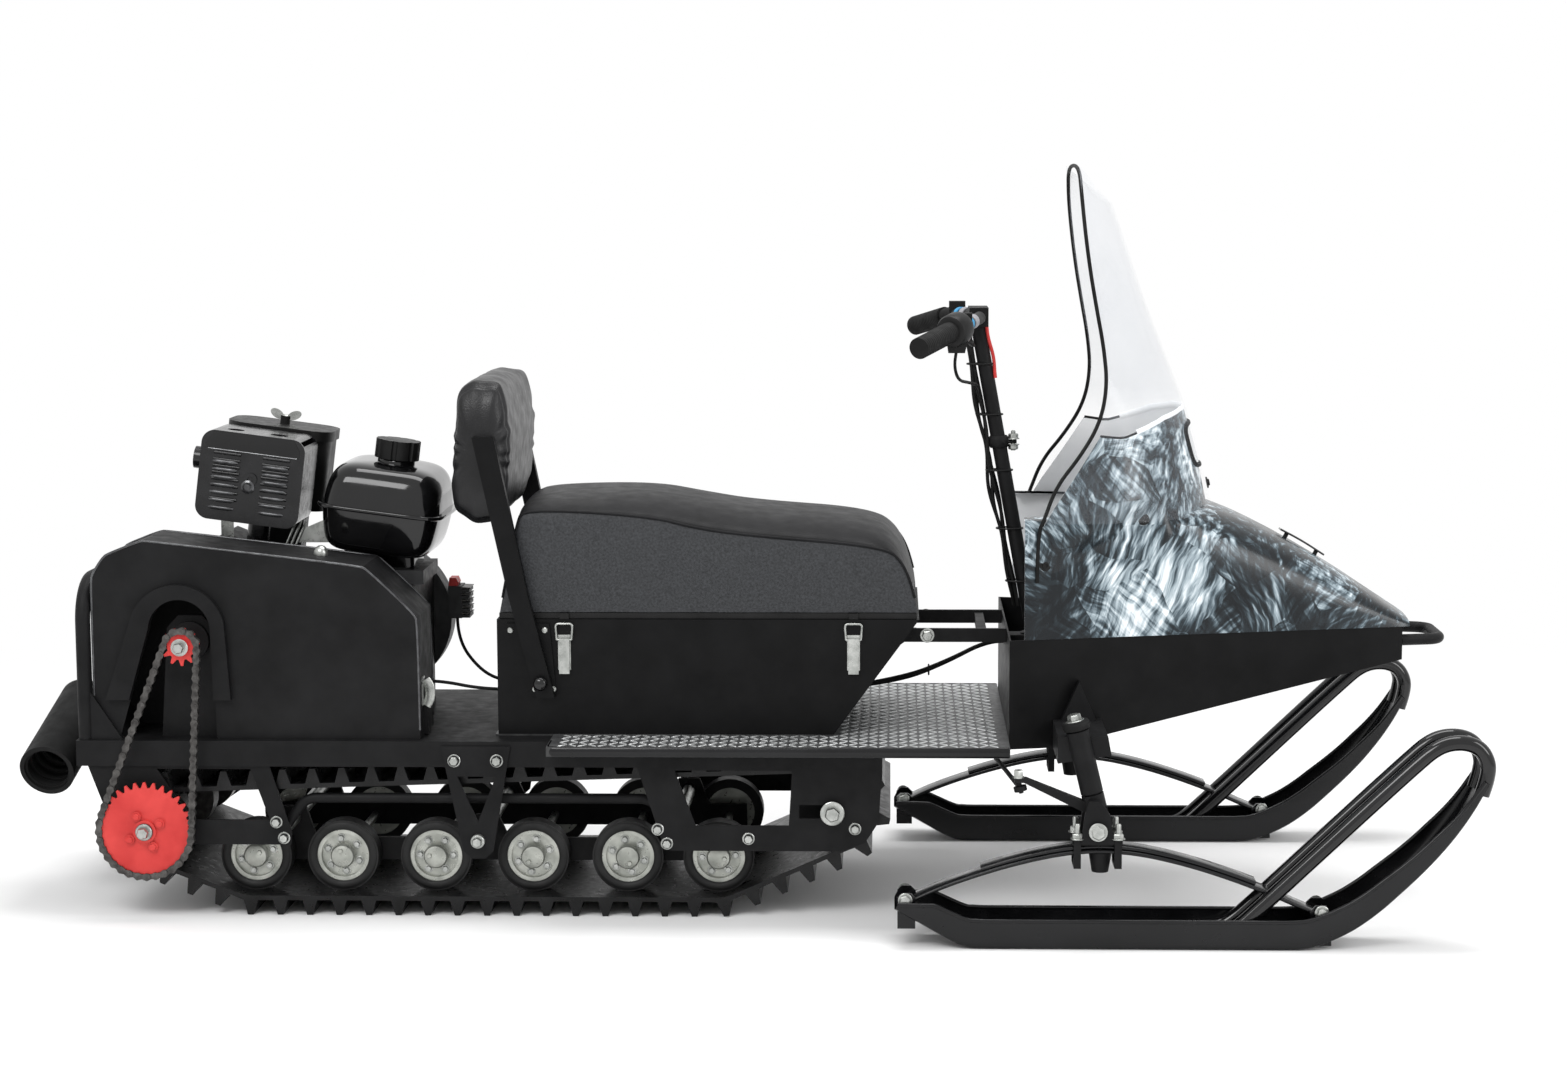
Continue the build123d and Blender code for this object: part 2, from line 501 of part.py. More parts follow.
hull_out = hull(0, 0)
hull_in = hull(TUB_T, 1)
LEAN = math.tan(math.radians(COLUMN_LEAN))
column_dir = Vector(-math.sin(math.radians(COLUMN_LEAN)), 0, math.cos(math.radians(COLUMN_LEAN)))
foot = Vector(COLUMN_FOOT_X, 0, COLUMN_FOOT_Z)
top = foot + column_dir * COLUMN_LENGTH


def on_column(z):
    """Point of the column axis at a height."""
    return (COLUMN_FOOT_X - (z - COLUMN_FOOT_Z) * LEAN, 0, z)


column_bar = rod(on_column(COLUMN_FOOT_Z), (top.X, 0, top.Z), COLUMN_R)
parts["nose_tub"] = hull_out - hull_in - rod(on_column(280), on_column(340), COLUMN_R + 6)


def hood_body(grow):
    """Lower hood: sections across the machine from rear to nose."""
    rows = ((506, 690, 12, 700, 18, 700), (790, 680, 14, 706, 40, 712), (853, 650, 14, 698, 70, 708),
            (1011, 585, 12, 620, 60, 627), (1190, 500, 6, 505, 40, 507))
    faces = []
    for x, z1, in1, z2, in2, z3 in rows:
        w = half_at(x) + 1 + grow
        faces.append(Plane(origin=(x, 0, 0), x_dir=(0, 1, 0), z_dir=(1, 0, 0)) * make_face(Polyline(
            (-w, SEAM_Z), (w, SEAM_Z), (w - in1, z1 + grow), (w - in2, z2 + grow), (0, z3 + grow),
            (-w + in2, z2 + grow), (-w + in1, z1 + grow), close=True)))
    return loft(faces, ruled=True)


def bow(z, x_edge, half, x_front):
    """Plan section bowed to the front, closed straight behind."""
    return Pos(0, 0, z) * make_face([
        ThreePointArc((x_edge, -half), (x_front, 0), (x_edge, half)), Line((x_edge, half), (x_edge, -half))])


def from_side(rows):
    """Rows of (z, edge x, inset, front x), with the inset from the tub's side made a half width."""
    return [(z, x_edge, TUB_HALF_REAR - inset, x_front) for z, x_edge, inset, x_front in rows]


COWL = from_side(((690, 540, 22, 842), (770, 588, 36, 824), (856, 636, 54, 800)))
SCREEN = from_side(((690, 536, 18, 846), (735, 546, 25, 837), (765, 566, 32, 829), (807, 603, 41, 817),
                    (856, 634, 50, 804), (900, 646, 53, 787), (955, 647, 56, 766), (1054, 628, 62, 726),
                    (1140, 613, 66, 697), (1221, 604, 72, 669), (1300, 597, 80, 640)))
SCREEN_T = 4
cowl = loft([bow(*row) for row in COWL], ruled=True)
cowl_void = loft([bow(z, x0 - 60, w - 4, x1 - 5) for z, x0, w, x1 in
                  from_side(((686, 540, 22, 842), (770, 588, 36, 824), (852, 636, 54, 800)))], ruled=True)
hood_void = hood_body(-4) - box(1186, 1300, -300, 300, 400, 800)
body = hood_body(0) - Pos(-6, 0, -2) * hood_void - box(400, 1180, -400, 400, 300, SEAM_Z)
COWL_MOUTH = TUB_HALF_REAR - 38
body -= box(500, 800, -COWL_MOUTH, COWL_MOUTH, 680, 740)
hood = body + (cowl - cowl_void - box(500, 640, -170, 170, 700, 900)) - column_bar
parts["hood"] = hood

# Headlamp in the front of the cowl
lamp = loft([bow(z, x0, w, x1 + 3) for z, x0, w, x1 in COWL], ruled=True)
lamp = (lamp & box(700, 900, -78, 78, 778, 842)) - cowl
parts["headlamp"] = lamp

# Windshield: clear sheet round the cowl, rising and leaning back, with an edge trim
outer = loft([bow(z, x0, w + SCREEN_T, x1 + SCREEN_T) for z, x0, w, x1 in SCREEN], ruled=True)
inner = loft([bow(z, x0 - 1, w, x1) for z, x0, w, x1 in SCREEN], ruled=True)
screen = outer - inner - hood
parts["windshield"] = screen
TRIM_BACK, TRIM_LAP, TRIM_T = 6, 10, 3
trim = loft([bow(z, x0 - TRIM_BACK, w + SCREEN_T + TRIM_T, x1 + SCREEN_T + TRIM_T) for z, x0, w, x1 in SCREEN],
            ruled=True)
trim -= loft([bow(z, x0 - TRIM_BACK - 1, w - TRIM_T, x1 - TRIM_T) for z, x0, w, x1 in SCREEN], ruled=True)
edge_strip = [(x0 - TRIM_BACK, z) for z, x0, w, x1 in SCREEN]
edge_strip += [(x0 + TRIM_LAP, z) for z, x0, w, x1 in reversed(SCREEN)]
trim = (trim & side(edge_strip, -BOARD_HALF, BOARD_HALF)) - screen - hood
parts["windshield_trim"] = trim

# Coupling fork: two arms from the seat box to the tub
arm = side([(290, 466), (TUB_REAR, 466), (TUB_REAR, 490), (322, 490)], 108, 116)
arm += side([(236, 420), (300, 466), (322, 490), (303, 490)], 104, 120)
parts["coupling_fork"] = both(arm) - seat_box + box(430, 446, -112, 112, 470, 486)

# Front bumper hoop
parts["front_bumper"] = tube([(TUB_FRONT, -82, 466), (1250, -66, 466), (1250, 66, 466), (TUB_FRONT, 82, 466)],
                             10, 30) - hull_out

# Spindle housings on outrigger beams
lean = math.radians(SPINDLE_LEAN)
spindle_dir = Vector(-math.sin(lean), 0, math.cos(lean))


def on_spindle(z, y=SKI_Y):
    """Point of the left spindle axis at a height."""
    return (SPINDLE_X - (z - SPINDLE_Z) * math.tan(lean), y, z)


HOUSING_LOW, HOUSING_HIGH = 258, 362
housing = rod(on_spindle(HOUSING_LOW), on_spindle(HOUSING_HIGH), HOUSING_R)
housing += side([(556, 306), (646, 320), (640, 352), (556, 352)], 180, SKI_Y)
housing += side([(570, 352), (630, 352), (600, 420)], 190, SKI_Y - 60) & box(560, 640, 180, 262, 340, 430)
housing -= rod(on_spindle(200), on_spindle(420), SPINDLE_R + FIT)
parts["spindle_housings"] = both(housing - hull_out)

# Column bracket: a bearing collar held from the rear wall of the tub
collar = rod(on_column(430), on_column(470), COLUMN_R + 9)
collar += box(TUB_REAR + TUB_T, 530, -22, 22, 436, 464)
parts["column_bracket"] = collar - rod(on_column(400), on_column(500), COLUMN_R + FIT)

# Steering column with its drop arm, handlebar and grips
perp = Vector(-math.cos(math.radians(COLUMN_LEAN)), 0, -math.sin(math.radians(COLUMN_LEAN)))
pitman_root = foot + column_dir * 12
inner_ball = pitman_root + perp * ARM_RADIUS
column = column_bar + rod(on_column(COLUMN_FOOT_Z), on_column(COLUMN_FOOT_Z + 20), COLUMN_R + 5)
drop = Plane(origin=pitman_root, x_dir=perp, z_dir=column_dir) * extrude(make_face(Polyline(
    (0, -14), (ARM_RADIUS, -10), (ARM_RADIUS + 9, -5), (ARM_RADIUS + 9, 5), (ARM_RADIUS, 10), (0, 14), close=True)), 6)
PIN_R = 4
pin_end = inner_ball - column_dir * (2 * EYE_STACK + EYE_T)
drop += rod((inner_ball.X, 0, inner_ball.Z), (pin_end.X, 0, pin_end.Z), PIN_R)
parts["steering_column"] = column + drop
bar_z = top.Z - 4
bar_x = top.X + 4
bar_line = [(325, -372, 1000), (392, -250, bar_z - 8), (bar_x, -70, bar_z), (bar_x, 70, bar_z), (392, 250, bar_z - 8),
            (325, 372, 1000)]
bar = tube(bar_line, 11, 45)
bar += box(bar_x - 17, bar_x + 17, -45, 45, bar_z - 17, bar_z + 17)
parts["handlebar"] = bar - column_bar
grip_a, grip_b = Vector(*bar_line[0]), Vector(*bar_line[1])
along = (grip_b - grip_a).normalized()
g0, g1, g2 = grip_a - along * 4, grip_a + along * 114, grip_a + along * 158
grip = rod((g0.X, g0.Y, g0.Z), (g1.X, g1.Y, g1.Z), 17) + rod((g1.X, g1.Y, g1.Z), (g2.X, g2.Y, g2.Z), 15)
housing_box = Pos(g2.X, g2.Y, g2.Z) * Box(30, 26, 44)
parts["grips"] = both(grip + housing_box) - bar

# Right and left spindles, tie rods and skis
SADDLE_Z = 198
arm_dir = Vector(-math.cos(lean), 0, -math.sin(lean))
root_pt = Vector(*on_spindle(BALL_Z + ARM_RADIUS * math.sin(lean)))
ball = root_pt + arm_dir * ARM_RADIUS
spindle = rod(on_spindle(206), on_spindle(HOUSING_HIGH + 3), SPINDLE_R)
spindle += rod(on_spindle(HOUSING_HIGH + 3), on_spindle(HOUSING_HIGH + 16), HOUSING_R + 3)
spindle += rod(on_spindle(232), on_spindle(HOUSING_LOW - 3), HOUSING_R)
cheek = side([(594, 176), (650, 176), (642, 226), (628, 246), (606, 246), (600, 226)], SKI_Y + 27, SKI_Y + 33)
cheek += side([(594, 176), (650, 176), (642, 226), (628, 246), (606, 246), (600, 226)], SKI_Y - 33, SKI_Y - 27)
spindle += cheek + side([(606, 236), (628, 236), (628, 248), (606, 248)], SKI_Y - 33, SKI_Y + 33)
spindle += cyl_y(SPINDLE_X, SADDLE_Z, SKI_Y - 40, SKI_Y + 40, 8)
steer_arm = side([(606, 222), (624, 234), (ball.X + 12, ball.Z + 9), (ball.X - 8, ball.Z + 9), (ball.X - 8, ball.Z + 2),
                  (ball.X + 8, ball.Z + 2)], SKI_Y - 10, SKI_Y + 10)
stud_top, stud_end = ball + spindle_dir * 4, ball - spindle_dir * (EYE_STACK + EYE_T)
steer_arm += rod((stud_top.X, SKI_Y, stud_top.Z), (stud_end.X, SKI_Y, stud_end.Z), PIN_R)
parts["spindle_left"] = spindle + steer_arm
parts["spindle_right"] = left_of(spindle + steer_arm)

# Tie rods: an eye at each end and a bar between, the inner eyes stacked on the drop arm's pin


def tie_rod(y, level):
    """Tie rod from the drop arm's pin, at a level of its stack, out to the ball stud at y."""
    inner = inner_ball - column_dir * EYE_STACK * level
    outer = Vector(ball.X, y, ball.Z) - spindle_dir * EYE_STACK
    bar = rod((inner.X, 0, inner.Z), (outer.X, y, outer.Z), TIE_R)
    for end, way in ((inner, column_dir), (outer, spindle_dir)):
        bar += Plane(origin=end, z_dir=way) * Cylinder(BALL_R, EYE_T)
        bar -= Plane(origin=end, z_dir=way) * Cylinder(PIN_R + EYE_PLAY, 4 * EYE_T)
    return bar


parts["tie_rod_left"] = tie_rod(SKI_Y, 1)
parts["tie_rod_right"] = tie_rod(-SKI_Y, 2)

# Ski: sheet trough with a rising front, leaf spring, saddle and tube loop
ski_low = [(283, 66), (400, 0), (974, 0), (1040, 28), (1124, 96), (1205, 182), (1266, 282)]
ski_high = [(1262, 285), (1201, 186), (1120, 101), (1037, 33), (973, SKI_SHEET), (401, SKI_SHEET), (285, 70)]
ski = side(ski_low + ski_high, SKI_Y - SKI_HALF, SKI_Y + SKI_HALF)
wall_line = ski_low + [(1258, 285), (1188, 206), (1100, 130), (1020, 72), (960, 48), (410, 48), (290, 78)]
for y0 in (SKI_Y - SKI_HALF, SKI_Y + SKI_HALF - SKI_SHEET):
    ski += side(wall_line, y0, y0 + SKI_SHEET)
ski += side([(380, 0), (1000, 0), (1000, 6), (380, 6)], SKI_Y - 6, SKI_Y + 6)
spring_low = [(301, 66), (455, 118), (560, 156), (628, 165), (690, 156), (800, 124), (947, 66), (1000, 48)]
spring_high = [(1000, 55), (949, 73), (802, 131), (691, 163), (628, 172), (559, 163), (453, 125), (299, 73)]
spring = side(spring_low + spring_high, SKI_Y - 25, SKI_Y + 25)
short_leaf = [(430, 108), (457, 118), (560, 156), (628, 165), (690, 156), (800, 124), (884, 92), (884, 86),
              (800, 117), (690, 149), (628, 158), (560, 149), (457, 111), (430, 101)]
spring += side(short_leaf, SKI_Y - 22, SKI_Y + 22)
parts["leaf_spring_left"] = spring
brackets = Part()
for x0, x1, z0, z1 in ((288, 318, 40, 90), (976, 1012, 4, 72)):
    for y in (-31, 27):
        brackets += box(x0, x1, SKI_Y + y, SKI_Y + y + 4, z0, z1)
brackets += cyl_y(301, 80, SKI_Y - 36, SKI_Y + 36, 6) + cyl_y(995, 62, SKI_Y - 36, SKI_Y + 36, 6)
saddle = side([(580, 172), (664, 172), (664, 180), (640, 184), (638, 212), (606, 212), (604, 184), (580, 180)],
              SKI_Y - 25, SKI_Y + 25)
saddle -= cyl_y(SPINDLE_X, SADDLE_Z, SKI_Y - 40, SKI_Y + 40, 8)
for x in (588, 656):
    saddle += box(x - 6, x + 6, SKI_Y - 32, SKI_Y - 25, 140, 184) + box(x - 6, x + 6, SKI_Y + 25, SKI_Y + 32, 140, 184)
    saddle += box(x - 6, x + 6, SKI_Y - 32, SKI_Y + 32, 134, 140)
saddle += Pos(628, SKI_Y, 141) * Cone(14, 20, 36)
parts["saddle_left"] = saddle - spring - spindle
loop = Part()
for dy in (-LOOP_HALF_GAUGE, LOOP_HALF_GAUGE):
    loop += tube([(790, SKI_Y + dy, SKI_SHEET + LOOP_R), (850, SKI_Y + dy, SKI_SHEET + LOOP_R + 10),
                  (1188, SKI_Y + dy, 352), (1266, SKI_Y + dy, 344), (1254, SKI_Y + dy, 262)], LOOP_R, 44)
loop = loop - ski - brackets - spring
parts["ski_left"] = ski + (brackets - spring) + loop
for name in ("leaf_spring", "saddle", "ski"):
    parts[name + "_right"] = left_of(parts[name + "_left"])

# Cables: two from the engine bay to the back of the seat box, two from the nose to its front
CABLE_R = 3
CABLE_BEND = 24
CABLES = {
    "cable_rear_upper": ((-532, 155, 470), (-532, 155, 425), (-490, 140, 372), (-445, 128, 352), (-407, 128, 352)),
    "cable_rear_lower": ((-543, -150, 400), (-515, -150, 400), (-450, -146, 387), (-407, -145, 385)),
    "cable_front_right": ((482, -24, 455), (450, -24, 455), (380, -20, 418), (300, -16, 386), (214.6, -12, 371.5)),
    "cable_front_left": ((482, 8, 448), (450, 8, 448), (375, 6, 408), (295, 2, 376), (211.9, 0, 366)),
}
for name, route in CABLES.items():
    parts[name] = tube(route, CABLE_R, CABLE_BEND) - seat_box - parts["nose_tub"] - cover

for name, part in parts.items():
    part.label = name
    export_step(part, f"parts/{name}.step")
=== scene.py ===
"""Dress a small utility snowmobile: camera, light, finishes and the pieces that the solids leave plain."""
from __future__ import annotations

import logging
import math
from dataclasses import dataclass
from enum import Enum
from functools import cache

import bmesh
import bpy
import numpy as np
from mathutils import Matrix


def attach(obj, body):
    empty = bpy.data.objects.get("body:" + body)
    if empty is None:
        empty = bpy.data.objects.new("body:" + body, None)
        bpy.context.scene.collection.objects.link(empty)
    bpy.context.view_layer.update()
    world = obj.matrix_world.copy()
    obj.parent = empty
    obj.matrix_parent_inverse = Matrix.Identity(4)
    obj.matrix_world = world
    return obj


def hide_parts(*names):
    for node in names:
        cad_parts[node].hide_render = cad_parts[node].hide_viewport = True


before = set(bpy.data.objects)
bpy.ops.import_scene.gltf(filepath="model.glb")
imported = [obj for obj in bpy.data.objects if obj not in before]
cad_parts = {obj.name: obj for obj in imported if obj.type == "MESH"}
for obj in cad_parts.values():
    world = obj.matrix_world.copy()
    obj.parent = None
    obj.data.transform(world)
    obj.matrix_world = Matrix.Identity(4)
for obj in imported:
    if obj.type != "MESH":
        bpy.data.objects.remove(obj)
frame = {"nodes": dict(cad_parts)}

Point = tuple[float, float, float]
Row = tuple[float, ...]
Line = tuple[Row, ...]

LOG = logging.getLogger("snowmobile")
SKI_Y = 0.405
SIDES = (-1, 1)


class Body(str, Enum):
    """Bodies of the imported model."""

    CHASSIS = "chassis"
    STEERING = "steering"
    SEAT = "seat_body"
    SKI_RIGHT = "ski_right_body"
    SKI_LEFT = "ski_left_body"


SKI_BODIES = ((-1, Body.SKI_RIGHT, "right"), (1, Body.SKI_LEFT, "left"))


@dataclass(frozen=True)
class Finish:
    """Numbers behind one mottled, grained surface finish.

    Args:
        name: Material name.
        dark: Darker colour of the mottle.
        light: Lighter colour of the mottle.
        mottle: Mottle frequency per metre.
        rough: Lowest and highest roughness.
        metal: Metallic weight.
        grain: Grain frequency per metre.
        relief: Grain height in metres.
        coat: Clear coat weight.
        pebbled: True for a pebbled leather grain, False for a sandy one.
        dust: Weight of pale dust on faces that look up.
        shine: Specular level.
    """

    name: str
    dark: Point
    light: Point
    mottle: float = 9.0
    rough: tuple[float, float] = (0.35, 0.55)
    metal: float = 0.0
    grain: float = 900.0
    relief: float = 0.0001
    coat: float = 0.0
    pebbled: bool = False
    dust: float = 0.0
    shine: float = 0.5


POWDER_COAT = Finish("powder_coat", (0.0035, 0.0035, 0.0038), (0.0085, 0.0085, 0.009), 14, (0.48, 0.64), 0.0, 1300,
                     0.00007, dust=0.01, shine=0.16)
SATIN_BLACK = Finish("satin_black", (0.0016, 0.0016, 0.0018), (0.0042, 0.0042, 0.0045), 18, (0.42, 0.56), 0.0, 1100,
                     0.00005, shine=0.13)
TRACK_RUBBER = Finish("track_rubber", (0.003, 0.003, 0.003), (0.009, 0.009, 0.0095), 26, (0.24, 0.42), 0.0, 500,
                      0.0001, dust=0.006, shine=0.22)
GLOSS_BLACK = Finish("gloss_black", (0.002, 0.002, 0.0022), (0.005, 0.005, 0.0055), 12, (0.05, 0.14), 0.0, 500,
                     0.00001, 0.2, shine=0.35)
SKI_STEEL = Finish("ski_steel", (0.002, 0.002, 0.0024), (0.006, 0.0062, 0.007), 10, (0.14, 0.30), 0.0, 900, 0.00003,
                   0.1, dust=0.006, shine=0.26)
CHECKER = Finish("checker_plate", (0.010, 0.010, 0.011), (0.045, 0.046, 0.046), 40, (0.35, 0.5), 0.0, 600, 0.00004,
                 dust=0.12, shine=0.3)
CHECKER_BAR = Finish("checker_bar", (0.36, 0.37, 0.37), (0.66, 0.67, 0.67), 30, (0.3, 0.45), 0.6, 600, 0.00003)
# Lighter, shinier steel for the guard's louvres, screw and ridge and for the drive cover's edge tubes: its specular is
# real, its light grey colour is a painted highlight on glossy black steel.
PAINTED_HIGHLIGHT_STEEL = Finish("painted_highlight_steel", (0.030, 0.030, 0.032), (0.090, 0.092, 0.096), 60, (0.14, 0.26), 0.5, 800, 0.00003,
                shine=0.8)
ZINC = Finish("zinc", (0.27, 0.28, 0.265), (0.50, 0.51, 0.49), 60, (0.24, 0.42), 0.9, 800, 0.00003)
CHAIN_STEEL = Finish("chain_steel", (0.030, 0.028, 0.027), (0.10, 0.096, 0.092), 90, (0.3, 0.5), 0.7, 900, 0.00004)
RED_PAINT = Finish("red_paint", (0.48, 0.028, 0.026), (0.63, 0.056, 0.050), 18, (0.35, 0.5), 0.0, 700, 0.00004,
                   dust=0.03, shine=0.25)
RIM_PAINT = Finish("rim_paint", (0.25, 0.26, 0.235), (0.47, 0.48, 0.44), 34, (0.24, 0.42), 0.7, 900, 0.00004)
CAST = Finish("cast_alloy", (0.010, 0.010, 0.011), (0.030, 0.031, 0.032), 25, (0.45, 0.65), 0.2, 700, 0.00018)
MUFFLER = Finish("muffler_sheet", (0.003, 0.003, 0.0035), (0.009, 0.009, 0.010), 26, (0.16, 0.30), 0.0, 700, 0.00003,
                 0.15, shine=0.35)
RUBBER = Finish("rubber", (0.004, 0.004, 0.004), (0.011, 0.011, 0.011), 16, (0.55, 0.75), 0.0, 600, 0.00015,
                dust=0.02, shine=0.14)
TYRE = Finish("roller_rubber", (0.007, 0.007, 0.007), (0.016, 0.016, 0.016), 22, (0.45, 0.62), 0.0, 500, 0.0001,
              dust=0.03, shine=0.22)
PLASTIC = Finish("moulded_plastic", (0.004, 0.004, 0.004), (0.010, 0.010, 0.010), 20, (0.34, 0.5), 0.0, 900, 0.0001,
                 shine=0.2)
VINYL = Finish("seat_vinyl", (0.019, 0.020, 0.0215), (0.042, 0.044, 0.048), 260, (0.42, 0.56), 0.0, 420, 0.0004,
               pebbled=True, shine=0.25)
VINYL_TOP = Finish("seat_top", (0.004, 0.004, 0.0045), (0.009, 0.009, 0.010), 12, (0.42, 0.54), 0.0, 700, 0.00016,
                   pebbled=True, shine=0.14)
LEATHER = Finish("backrest_leather", (0.006, 0.006, 0.0065), (0.014, 0.014, 0.015), 14, (0.3, 0.45), 0.0, 420, 0.0003,
                 pebbled=True, shine=0.28)
BLUE_TAPE = Finish("blue_tape", (0.02, 0.20, 0.42), (0.04, 0.30, 0.55), 60, (0.35, 0.5), 0.0, 900, 0.0001)
GREY_TAPE = Finish("grey_tape", (0.20, 0.20, 0.22), (0.32, 0.32, 0.34), 60, (0.4, 0.55), 0.0, 900, 0.0001)
LINER = Finish("hood_liner", (0.78, 0.80, 0.82), (0.90, 0.91, 0.92), 10, (0.45, 0.6), 0.0, 500, 0.0001)

NODE_FINISH: dict[Finish, tuple[str, ...]] = {
    SATIN_BLACK: ("seat_box", "nose_tub", "backrest_posts"),
    TRACK_RUBBER: ("track",),
    POWDER_COAT: ("tunnel", "side_frame_left", "side_frame_right", "hanger_brackets", "rear_hoop", "coupling_fork",
                  "front_bumper", "spindle_housings", "column_bracket", "slide_rails", "drive_cover",
                  "bearing_plate", "spindle_left", "spindle_right", "saddle_left", "saddle_right", "steering_column",
                  "handlebar", "tie_rod_left", "tie_rod_right", "front_idler"),
    SKI_STEEL: ("ski_left", "ski_right", "leaf_spring_left", "leaf_spring_right"),
    GLOSS_BLACK: ("fuel_tank",),
    CHECKER: ("running_board",),
    ZINC: ("box_latches", "roller_axles"),
    RED_PAINT: ("driven_sprocket", "drive_sprocket"),
    CHAIN_STEEL: ("drive_chain", "drive_axle"),
    RIM_PAINT: ("wheel_rims",),
    CAST: ("engine_block", "regulator"),
    MUFFLER: ("muffler",),
    RUBBER: ("rear_tube", "windshield_trim", "grips", "cable_rear_upper", "cable_rear_lower",
             "cable_front_right", "cable_front_left"),
    TYRE: ("wheel_tyres",),
    PLASTIC: ("air_cleaner", "fuel_cap", "seat_base"),
}


class Shader:
    """Small wrapper round a material's node tree."""

    def __init__(self, name: str) -> None:
        """Start a node material.

        Args:
            name: Material name.
        """
        self.material = bpy.data.materials.new(name)
        self.material.use_nodes = True
        self.tree = self.material.node_tree
        self.surface = next(n for n in self.tree.nodes if n.type == "BSDF_PRINCIPLED")
        self.coords = self.tree.nodes.new("ShaderNodeTexCoord").outputs["Object"]

    def link(self, source: bpy.types.NodeSocket, target: bpy.types.NodeSocket) -> None:
        """Join two sockets.

        Args:
            source: Output socket.
            target: Input socket.
        """
        self.tree.links.new(source, target)

    def node(self, kind: str, inputs: dict[str, object] | None = None, **settings: object) -> bpy.types.Node:
        """Add a node.

        Args:
            kind: Node type.
            inputs: Values or sockets for its inputs.
            settings: Attributes of the node.

        Returns:
            The node.
        """
        made = self.tree.nodes.new(kind)
        for key, value in settings.items():
            setattr(made, key, value)
        for key, value in (inputs or {}).items():
            socket = made.inputs[int(key)] if key.isdigit() else made.inputs[key]
            if isinstance(value, bpy.types.NodeSocket):
                self.link(value, socket)
            else:
                socket.default_value = value
        return made

    def put(self, name: str, value: object) -> None:
        """Set or link an input of the surface.

        Args:
            name: Input's name.
            value: Number or socket.
        """
        if isinstance(value, bpy.types.NodeSocket):
            self.link(value, self.surface.inputs[name])
        else:
            self.surface.inputs[name].default_value = value

    def calc(self, operation: str, a: object, b: object, clamp: bool = False) -> bpy.types.NodeSocket:
        """Arithmetic on two values.

        Args:
            operation: Kind of sum.
            a: First number or socket.
            b: Second number or socket.
            clamp: True to keep the result between 0 and 1.

        Returns:
            The result.
        """
        return self.node("ShaderNodeMath", {"0": a, "1": b}, operation=operation, use_clamp=clamp).outputs[0]

    def noise(self, scale: float, detail: float) -> bpy.types.NodeSocket:
        """Fractal noise on the piece's own coordinates.

        Args:
            scale: Frequency per metre.
            detail: Octaves.

        Returns:
            The noise value.
        """
        made = self.node("ShaderNodeTexNoise", {"Vector": self.coords, "Scale": scale, "Detail": detail})
        return made.outputs["Fac"]

    def ramp(self, value: bpy.types.NodeSocket, stops: list[tuple[float, Point]]
             ) -> bpy.types.NodeSocket:
        """Colour ramp.

        Args:
            value: Driving value.
            stops: Places and colours.

        Returns:
            The colour.
        """
        made = self.node("ShaderNodeValToRGB", {"Fac": value})
        elements = made.color_ramp.elements
        while len(elements) < len(stops):
            elements.new(0.5)
        for element, (place, colour) in zip(elements, stops):
            element.position = place
            element.color = (*colour, 1.0)
        return made.outputs["Color"]

    def mix(self, fac: bpy.types.NodeSocket | float, a: bpy.types.NodeSocket, b: bpy.types.NodeSocket | tuple
            ) -> bpy.types.NodeSocket:
        """Mix two colours.

        Args:
            fac: Weight of the second.
            a: First colour.
            b: Second colour.

        Returns:
            The mixed colour.
        """
        made = self.tree.nodes.new("ShaderNodeMix")
        made.data_type = "RGBA"
        for socket, value in zip((made.inputs[0], made.inputs[6], made.inputs[7]), (fac, a, b)):
            if isinstance(value, bpy.types.NodeSocket):
                self.link(value, socket)
            else:
                socket.default_value = value
        return made.outputs[2]

    def spread(self, value: bpy.types.NodeSocket, low: float, high: float) -> bpy.types.NodeSocket:
        """Map the middle of a noise to a range.

        Args:
            value: Noise value.
            low: Result at a low value.
            high: Result at a high value.

        Returns:
            The mapped value.
        """
        made = self.node("ShaderNodeMapRange", {"Value": value, "From Min": 0.3, "From Max": 0.7, "To Min": low,
                                                "To Max": high})
        return made.outputs[0]

    def relief(self, height: bpy.types.NodeSocket, depth: float) -> None:
        """Bump the surface.

        Args:
            height: Height field from 0 to 1.
            depth: Height in metres.
        """
        bump = self.node("ShaderNodeBump", {"Height": height, "Distance": depth, "Strength": 1.0})
        self.link(bump.outputs[0], self.surface.inputs["Normal"])

    def dusted(self, colour: bpy.types.NodeSocket, weight: float) -> bpy.types.NodeSocket:
        """Lay pale dust on faces that look up.

        Args:
            colour: Clean colour.
            weight: Most dust.

        Returns:
            The dusted colour.
        """
        normal = self.node("ShaderNodeNewGeometry").outputs["Normal"]
        up = self.node("ShaderNodeSeparateXYZ", {"0": normal}).outputs["Z"]
        facing = self.calc("MULTIPLY", up, weight, True)
        patchy = self.calc("MULTIPLY", facing, self.noise(22, 5))
        return self.mix(patchy, colour, (0.42, 0.43, 0.44, 1.0))


